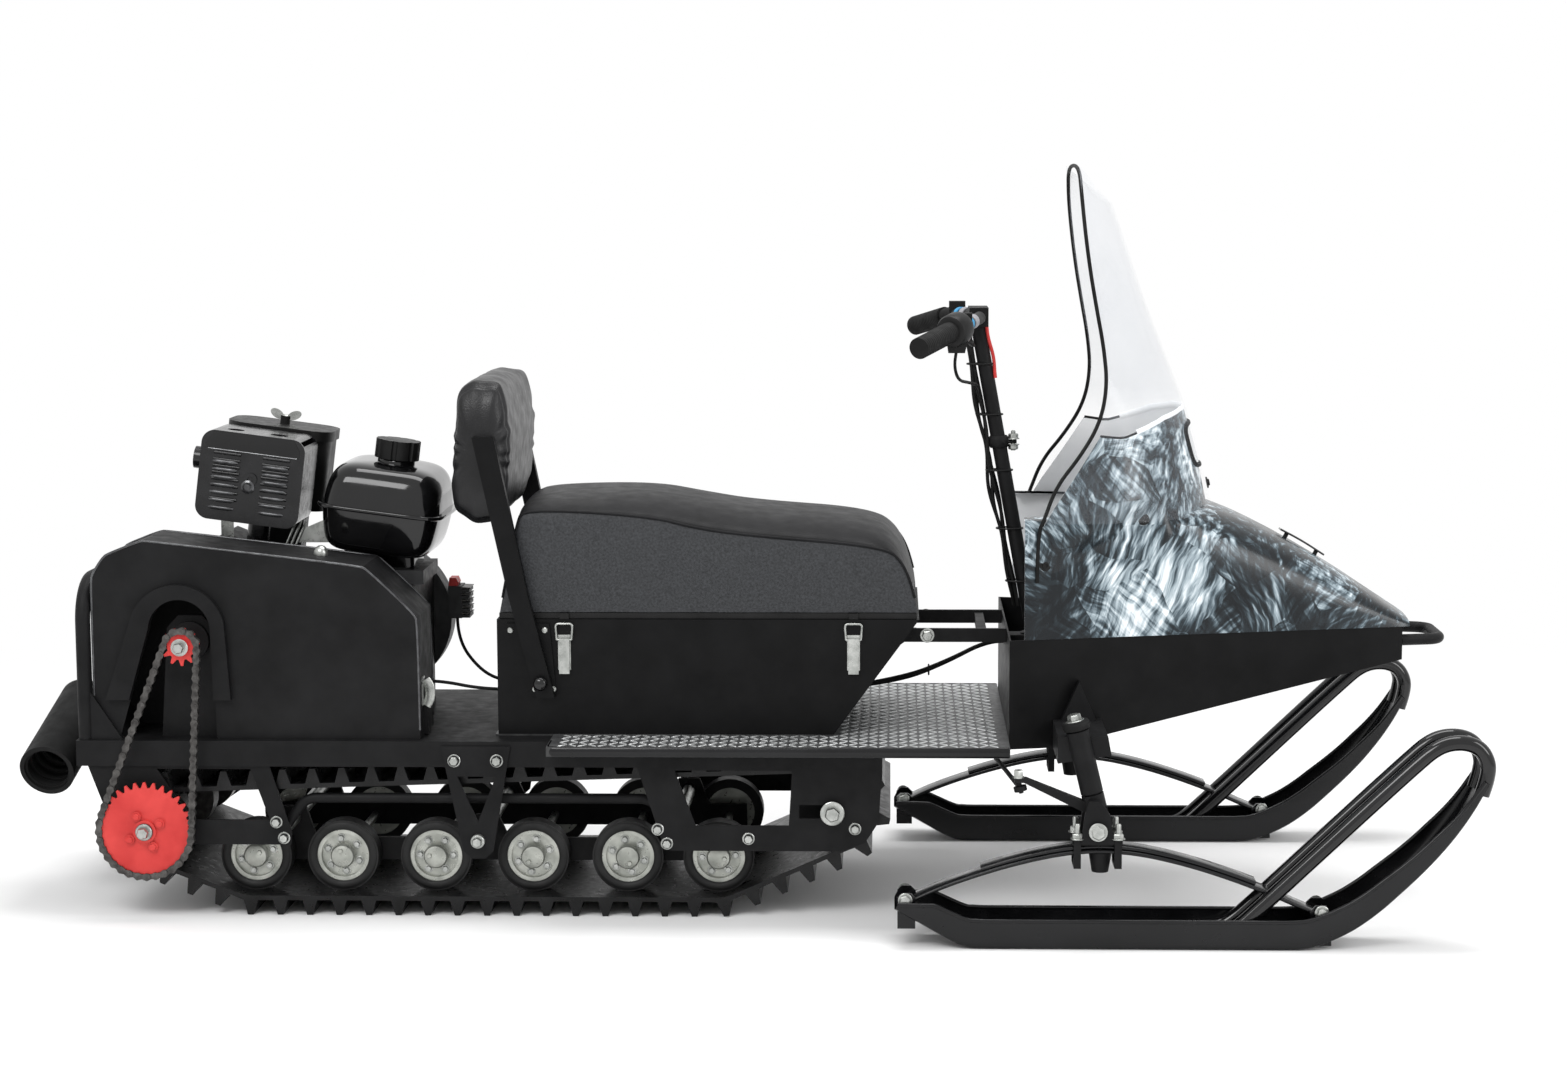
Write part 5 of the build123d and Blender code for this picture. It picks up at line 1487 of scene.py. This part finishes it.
@dataclass
class Cables(Group):
    """Free cables from the engine bay and the nose to the seat box.

    Args:
        radius: Cable radius.
        routes: Solid that each cable stands for, and its control points.
    """

    radius: float = 0.003
    routes: tuple[tuple[str, Line], ...] = (
        ("cable_rear_upper", ((-0.532, 0.155, 0.470), (-0.532, 0.155, 0.425), (-0.490, 0.140, 0.372),
                             (-0.445, 0.128, 0.352), (-0.410, 0.128, 0.352))),
        ("cable_rear_lower", ((-0.542, -0.150, 0.400), (-0.515, -0.150, 0.400), (-0.450, -0.146, 0.386),
                             (-0.410, -0.145, 0.385))),
        ("cable_front_right", ((0.480, -0.024, 0.455), (0.450, -0.024, 0.455), (0.380, -0.020, 0.418),
                              (0.300, -0.016, 0.386), (0.2165, -0.012, 0.3718))),
        ("cable_front_left", ((0.480, 0.008, 0.448), (0.450, 0.008, 0.448), (0.375, 0.006, 0.408),
                             (0.295, 0.002, 0.376), (0.2138, 0.0, 0.3663))),
    )

    @staticmethod
    def length_of(points: Line) -> float:
        """Length of the quadratic spline with these control points, as a sum of short chords.

        Args:
            points: Control points.

        Returns:
            Its length.
        """
        corner = np.array(points)
        mid = (corner[1:-2] + corner[2:-1]) / 2
        knot = np.vstack([corner[:1], mid, corner[-1:]])
        t = np.linspace(0, 1, 40)[:, None]
        runs = [(1 - t) ** 2 * a + 2 * t * (1 - t) * c + t ** 2 * b for a, c, b in zip(knot, corner[1:-1], knot[1:])]
        return float(sum(np.linalg.norm(np.diff(r, axis=0), axis=1).sum() for r in runs))

    def build(self) -> None:
        """Draw each cable as one smooth spline, and the tie as a ring round the front pair."""
        for name, points in self.routes:
            curve = bpy.data.curves.new(f"{name}_line", "CURVE")
            curve.dimensions = "3D"
            curve.bevel_depth = self.radius
            curve.bevel_resolution = 4
            curve.resolution_u = 16
            curve.use_fill_caps = True
            spline = curve.splines.new("NURBS")
            spline.points.add(len(points) - 1)
            spline.points.foreach_set("co", np.column_stack([points, np.ones(len(points))]).ravel())
            spline.order_u = 3
            spline.use_endpoint_u = True
            curve.materials.append(self.finishes.get(RUBBER))
            piece = bpy.data.objects.new(f"{name}_line", curve)
            bpy.context.scene.collection.objects.link(piece)
            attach(piece, Body.CHASSIS.value)
            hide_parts(name)
            LOG.info("%s on %s", piece.name, Body.CHASSIS.value)
        turn = np.arange(24) * math.pi / 12
        ring = np.stack([np.full(24, 0.345), -0.007 + 0.0175 * np.cos(turn), 0.3985 + 0.0085 * np.sin(turn)], 1)
        self.add(Patch.swept(ring, 0.0017, 6, up=(1, 0, 0), closed=True),
                 "front_cable_tie", "black_plastic", PLASTIC, 50)


@dataclass
class Hardware(Group):
    """Nuts, rivets and caps of the chassis and the skis.

    Args:
        rivets: Rivets of the seat box, X and Z.
        spindle_lean: Lean of the spindles.
    """

    rivets: Line = ((-0.386, 0.500), (-0.326, 0.500), (-0.344, 0.396), (-0.312, 0.396))
    spindle_lean: float = math.radians(13.6)

    def build(self) -> None:
        """Make the small hardware: turned and hex heads set square to their faces."""
        rivet = Patch.turned([(0.0056, 0), (0.0054, 0.0012), (0.0042, 0.0026), (0.0021, 0.0030),
                              (0.0018, 0.0016)], 18)
        chassis = []
        for side in SIDES:
            axis = (0, side, 0)
            spots = np.array([(x, side * 0.209, z) for x, z in self.rivets])
            chassis.append(rivet.copies(spots, axis))
            chassis.append(hex_bolt(0.0135, 0.011, 0.021).copies((0.176, side * 0.270, 0.190), axis, 0.3))
            chassis.append(hex_bolt(0.0090, 0.009, 0.0115).copies((-0.440, side * 0.276, 0.139), axis, 0.5))
            chassis.append(hex_bolt(0.0095, 0.008, 0.013).copies((0.341, side * 0.116, 0.478), axis, 0.1))
        chassis.append(hex_bolt(0.0098, 0.011, 0.0150).copies((-0.946, -0.300, 0.483), (0, -1, 0), 0.2))
        chassis.append(hex_bolt(0.0105, 0.012, 0.0145).copies((-1.017, -0.3015, 0.159), (0, -1, 0), 0.2))
        turn = np.radians(28 + 90 * np.arange(4))
        self.add(Patch.joined(*chassis), "bright_fasteners", "bright_steel", ZINC, 30)
        heads = at_y(arc(-1.017, 0.159, 0.030, turn), -0.2965)
        self.add(hex_bolt(0.0062, 0.004, 0.0085).copies(heads, (0, -1, 0), 0.4),
                 "sprocket_bolts", "red_paint", RED_PAINT, 30)
        dome = Patch.turned([(0.0122, 0), (0.0118, 0.004), (0.0085, 0.0075), (0.003, 0.009)], 24)
        bolts = [dome.copies((-0.332, side * 0.235, 0.410), (0, side, 0)) for side in SIDES]
        self.add(Patch.joined(*bolts), "post_bolts", "black_steel", GLOSS_BLACK)
        for side, body, name in SKI_BODIES:
            self._ski(side, body, name)

    def _ski(self, side: int, body: Body, name: str) -> None:
        """Nuts, studs and spindle cap of one ski.

        The cap and its nut stand on the spindle's leaning axis.

        Args:
            side: -1 for the right, 1 for the left.
            body: Its body.
            name: Its side.
        """
        y = side * SKI_Y
        up = (-math.sin(self.spindle_lean), 0, math.cos(self.spindle_lean))
        nuts = []
        for out in SIDES:
            axis = (0, out, 0)
            for x, z in ((0.301, 0.080), (0.995, 0.062)):
                nuts.append(hex_bolt(0.0095, 0.007, 0.012).copies((x, y + out * 0.036, z), axis, 0.3))
            nuts.append(hex_bolt(0.0125, 0.008, 0.0155).copies((0.622, y + out * 0.040, 0.198), axis, 0.6))
            stud = Patch.turned([(0.0048, 0), (0.0048, 0.024), (0.0038, 0.026)], 12)
            for x in (0.588, 0.656):
                spot = np.array([x, y + out * 0.0285, 0.184])
                nuts.append(stud.copies(spot))
                nuts.append(hex_bolt(0.0092, 0.008, 0.0115).copies(spot, spin=0.4 * out))
        top = np.array([0.622 - (0.378 - 0.223) * math.tan(self.spindle_lean), y, 0.378])
        nuts.append(hex_bolt(0.0115, 0.010, 0.016).copies(top, up))
        nuts.append(hex_bolt(0.0086, 0.011, 0.0100).copies((0.4906, y, 0.2818), spin=0.5))
        self.add(Patch.joined(*nuts), f"ski_nuts_{name}", "bright_steel", ZINC, 30, body=body)
        ribs = Patch.turned([(0.0223, 0), (0.0235, 0.003), (0.0235, 0.010), (0.0205, 0.014), (0.0165, 0.0142)], 28)
        self.add(ribs.copies(top - 0.013 * np.array(up), up),
                 f"spindle_cap_{name}", "black_rubber", RUBBER, body=body)


@dataclass
class Controls(Group):
    """Wiring and fittings on the steering column and the bar."""

    @staticmethod
    def on_column(z: np.ndarray | float) -> np.ndarray | float:
        """Station of the column's axis at a height: its foot's, less the rise times the tangent of its lean.

        Args:
            z: Height.

        Returns:
            The station along the machine.
        """
        return 0.566 - (z - 0.279) * math.tan(math.radians(10.3))

    def build(self) -> None:
        """Make the cable bundle, its ties, the tape, the red lead, the clamp and the grip sleeves.

        Each cable follows the column's axis at its own distance, with a slack that is a squared sine under a half sine.
        """
        z = np.linspace(0.515, 1.012, 90)
        bundle = []
        for k, (back, out, reach) in enumerate(((0.018, -0.006, 0.006), (0.021, 0.002, 0.008), (0.017, 0.009, 0.005),
                                                (0.024, -0.002, 0.009))):
            slack = reach * np.sin((z - 0.515) * 19 + 1.3 * k) ** 2 * np.sin((z - 0.515) / 0.497 * math.pi)
            path = np.stack([self.on_column(z) - back - slack, out + 0.004 * np.sin(z * 23 + k), z], 1)
            bundle.append(Patch.swept(path, 0.0032, 8, up=(0, 1, 0)))
        for side in SIDES:
            route = [(self.on_column(0.985) - 0.02, side * 0.008, 0.985), (0.425, side * 0.06, 0.985),
                     (0.408, side * 0.13, 1.000), (0.396, side * 0.205, 1.008)]
            bundle.append(Patch.swept(smooth_line(route, 50), 0.0032, 8))
        self.add(Patch.joined(*bundle), "cable_bundle", "black_rubber", RUBBER, 50, body=Body.STEERING)
        loop = np.arange(28) * math.pi / 14
        ties = []
        for level in (0.560, 0.655, 0.760, 0.860, 0.950):
            ring = np.stack([self.on_column(level) - 0.008 + 0.0235 * np.cos(loop), 0.0165 * np.sin(loop),
                             np.full(28, level)], 1)
            ties.append(Patch.swept(ring, 0.0018, 6, closed=True))
        self.add(Patch.joined(*ties), "cable_ties", "black_plastic", PLASTIC, 50, body=Body.STEERING)
        z = np.linspace(0.925, 1.022, 40)
        lead = np.stack([self.on_column(z) + 0.0158 + 0.0015 * np.sin(z * 80), 0.002 * np.sin(z * 60) - 0.005, z], 1)
        self.add(Patch.swept(lead, 0.0031, 10, up=(0, 1, 0)),
                 "red_lead", "red_paint", RED_PAINT, 50, body=Body.STEERING)
        self._tape()
        self._clamp()
        self._grips()

    def _tape(self) -> None:
        """Tape wraps: rippled tubes over a share of the bar's straight part."""
        for name, finish, start, end in (("blue_tape", BLUE_TAPE, 0.30, 0.42), ("grey_tape", GREY_TAPE, 0.50, 0.66)):
            wraps = []
            for side in SIDES:
                a, b = np.array([0.392, side * 0.250, 1.0270]), np.array([0.432, side * 0.070, 1.0350])
                t = np.linspace(start, end, 16)[:, None]
                path = a + (b - a) * t
                wraps.append(Patch.swept(path, 0.0126 + 0.0005 * np.sin(np.arange(16) * 1.9), 20))
            self.add(Patch.joined(*wraps), name, "black_plastic", finish, 50, body=Body.STEERING)

    def _grips(self) -> None:
        """Ribbed sleeves over the grips, the round throttle housing and its cable.

        A sleeve is a tube whose radius waves along the grip; the housing is a turned drum on the bar's line.
        """
        reach = np.linspace(-0.0045, 0.112, 150)
        wave = 0.0172 + 0.0010 * np.abs(np.sin(reach * 2 * math.pi / 0.0115))
        wave[0] = 0.0150
        sleeves = []
        for side in SIDES:
            tip, heel = np.array([0.325, side * 0.372, 1.000]), np.array([0.392, side * 0.250, 1.027])
            along = (heel - tip) / np.linalg.norm(heel - tip)
            sleeves.append(Patch.swept(tip + along * reach[:, None], wave, 28))
            if side < 0:
                drum = Patch.turned([(0.020, 0.108), (0.0265, 0.111), (0.0285, 0.116), (0.0285, 0.140),
                                     (0.0265, 0.146), (0.0215, 0.149), (0.0200, 0.158), (0.0150, 0.159)], 36)
                drum = drum.copies(tip, along)
                ear = Patch.slab([(0.374, 0.985), (0.402, 0.985), (0.408, 1.010), (0.370, 1.010)], -0.268, -0.244)
        self.add(Patch.joined(*sleeves), "grip_ribs", "black_rubber", RUBBER, 60, body=Body.STEERING)
        self.add(Patch.joined(drum, ear), "throttle_housing", "black_plastic", PLASTIC, body=Body.STEERING)
        loop = smooth_line([(0.388, -0.256, 0.990), (0.384, -0.254, 0.962), (0.392, -0.215, 0.935),
                            (0.412, -0.120, 0.925), (0.432, -0.040, 0.915), (0.438, -0.012, 0.890)], 70)
        self.add(Patch.swept(loop, 0.0028, 8, up=(0.3, 0.2, 1)),
                 "throttle_cable", "black_rubber", RUBBER, 50, body=Body.STEERING)

    def _clamp(self) -> None:
        """Column clamp: a flattened ring and a tab, with a bolt through the tab."""
        z = 0.811
        x = float(self.on_column(z))
        loop = np.arange(40) * math.pi / 20
        ring = np.stack([x + 0.0150 * np.cos(loop), 0.0150 * np.sin(loop), np.full(40, z)], 1)
        band = Patch.swept(ring, 0.0035, 8, 3.2, closed=True)
        tab = Patch.swept(np.array([(x + 0.013, 0.0, z), (x + 0.022, 0.0, z), (x + 0.032, 0.0, z)]), 0.010, 8, 0.35)
        self.add(Patch.joined(band, tab), "column_clamp", "black_steel", POWDER_COAT, body=Body.STEERING)
        stud = Patch.turned([(0.0042, -0.016), (0.0042, 0.018), (0.003, 0.020)], 12)
        spot = np.array([x + 0.026, 0.0, z])
        nut = hex_bolt(0.0090, 0.008, 0.011)
        self.add(Patch.joined(stud.copies(spot), nut.copies(spot + (0, 0, 0.0045)),
                              nut.copies(spot - (0, 0, 0.0045), (0, 0, -1))),
                 "clamp_bolt", "bright_steel", ZINC, 30, body=Body.STEERING)


@dataclass
class Studio:
    """Camera, floor and soft light.

    Args:
        yaw: Camera's yaw.
        pitch: Camera's pitch.
        roll: Camera's roll.
        place: Camera's place.
        lens: Focal length in mm.
    """

    place: Point = (0.2768, -5.2962, 1.2884)
    yaw: float = math.radians(2.0905)
    pitch: float = math.radians(7.0498)
    roll: float = math.radians(-0.2282)
    lens: float = 68.11

    def build(self) -> None:
        """Make the camera, the floor and the lights."""
        self._camera()
        self._floor()
        self._lights()

    def _camera(self) -> None:
        """Camera.

        Yaw and pitch give the view direction, and roll turns the right and up axes about it.
        """
        ahead = np.array([-math.sin(self.yaw) * math.cos(self.pitch), math.cos(self.yaw) * math.cos(self.pitch),
                          -math.sin(self.pitch)])
        right = np.array([math.cos(self.yaw), math.sin(self.yaw), 0.0])
        over = np.cross(right, ahead)
        c, s = math.cos(self.roll), math.sin(self.roll)
        axes = np.stack([right * c + over * s, over * c - right * s, -ahead], 1)
        data = bpy.data.cameras.new("camera")
        data.sensor_fit = "HORIZONTAL"
        data.sensor_width = 36
        data.lens = self.lens
        camera = bpy.data.objects.new("camera", data)
        set_in_scene(camera, axes, self.place)
        bpy.context.scene.camera = camera

    def _floor(self) -> None:
        """Pale floor that fades to white light away from the machine for camera rays."""
        side = np.linspace(-9, 9, 13)
        x, y = np.meshgrid(side, side, indexing="ij")
        patch = Patch.grid(np.stack([x, y, np.full_like(x, -0.0005)], -1))
        mesh = bpy.data.meshes.new("floor")
        mesh.from_pydata(patch.verts.tolist(), [], patch.quads.tolist())
        floor = bpy.data.objects.new("floor", mesh)
        shader = Shader("pale_floor")
        pale = [(0.3, (0.86, 0.86, 0.86)), (0.7, (0.90, 0.90, 0.90))]
        shader.put("Base Color", shader.ramp(shader.noise(3, 4), pale))
        shader.put("Roughness", 0.85)
        away = shader.node("ShaderNodeVectorMath", {"0": shader.coords}, operation="LENGTH").outputs["Value"]
        far = shader.node("ShaderNodeMapRange", {"Value": away, "From Min": 1.6, "From Max": 3.4}).outputs[0]
        seen = shader.node("ShaderNodeLightPath").outputs["Is Camera Ray"]
        share = shader.calc("MULTIPLY", far, seen)
        white = shader.node("ShaderNodeEmission").outputs[0]
        own = shader.surface.outputs[0]
        blend = shader.node("ShaderNodeMixShader", {"0": share, "1": own, "2": white}).outputs[0]
        shader.link(blend, next(n for n in shader.tree.nodes if n.type == "OUTPUT_MATERIAL").inputs["Surface"])
        mesh.materials.append(shader.material)
        bpy.context.scene.collection.objects.link(floor)

    def _lights(self) -> None:
        """White world, dimmer for diffuse rays, and area lights turned to their aims."""
        scene = bpy.context.scene
        scene.view_settings.view_transform = "Standard"
        world = bpy.data.worlds.new("studio")
        world.use_nodes = True
        background = next(n for n in world.node_tree.nodes if n.type == "BACKGROUND")
        background.inputs["Color"].default_value = (1.0, 1.0, 1.0, 1.0)
        tree = world.node_tree
        rays = tree.nodes.new("ShaderNodeLightPath")
        seen = rays.outputs["Is Camera Ray"]
        for other in ("Is Glossy Ray", "Is Transmission Ray"):
            either = tree.nodes.new("ShaderNodeMath")
            either.operation = "MAXIMUM"
            tree.links.new(seen, either.inputs[0])
            tree.links.new(rays.outputs[other], either.inputs[1])
            seen = either.outputs[0]
        level = tree.nodes.new("ShaderNodeMapRange")
        level.inputs["To Min"].default_value = 0.85
        tree.links.new(seen, level.inputs["Value"])
        tree.links.new(level.outputs[0], background.inputs["Strength"])
        scene.world = world
        for name, place, size, watts, aim in (
                ("key", (-1.6, -3.4, 3.6), (2.4, 1.4), 90, (0, 0, 0.5)),
                ("top", (0.4, 0.2, 4.2), (3.0, 1.6), 90, (0.1, 0, 0.4)),
                ("side", (3.4, -2.0, 1.9), (0.9, 2.2), 40, (0.3, 0, 0.5))):
            data = bpy.data.lights.new(name, "AREA")
            data.shape = "RECTANGLE"
            data.size, data.size_y = size
            data.energy = watts
            light = bpy.data.objects.new(name, data)
            z = np.array(place, float) - np.array(aim, float)
            z /= np.linalg.norm(z)
            x = np.cross((0, 0, 1) if abs(z[2]) < 0.95 else (0, 1, 0), z)
            x /= np.linalg.norm(x)
            set_in_scene(light, np.stack([x, np.cross(z, x), z], 1), place)


@dataclass
class Wardrobe:
    """Gives every carried-over solid its finish.

    Args:
        nodes: Solids by name.
        finishes: Material maker.
    """

    nodes: dict[str, bpy.types.Object]
    finishes: Finishes

    def build(self) -> None:
        """Assign the materials."""
        wanted = {name: self.finishes.get(finish) for finish, names in NODE_FINISH.items() for name in names}
        wanted["hood"] = self.finishes.hood_print()
        wanted["windshield"] = self.finishes.clear_sheet()
        wanted["headlamp"] = self.finishes.lamp_glass()
        for name, node in self.nodes.items():
            if name not in wanted:
                LOG.warning("no finish for %s", name)
            node.data.materials.clear()
            node.data.materials.append(wanted.get(name, self.finishes.get(POWDER_COAT)))


def main() -> None:
    """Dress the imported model."""
    logging.basicConfig(level=logging.INFO)
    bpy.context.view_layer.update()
    finishes = Finishes()
    Wardrobe(frame["nodes"], finishes).build()
    for group in (Seat, Deck, Rollers, Fasteners, Nose, Chain, Springs, Skis, Engine, Cables, Hardware,
                  Controls):
        group(finishes).build()
    Studio().build()
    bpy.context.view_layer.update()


if __name__ == "__main__":
    main()
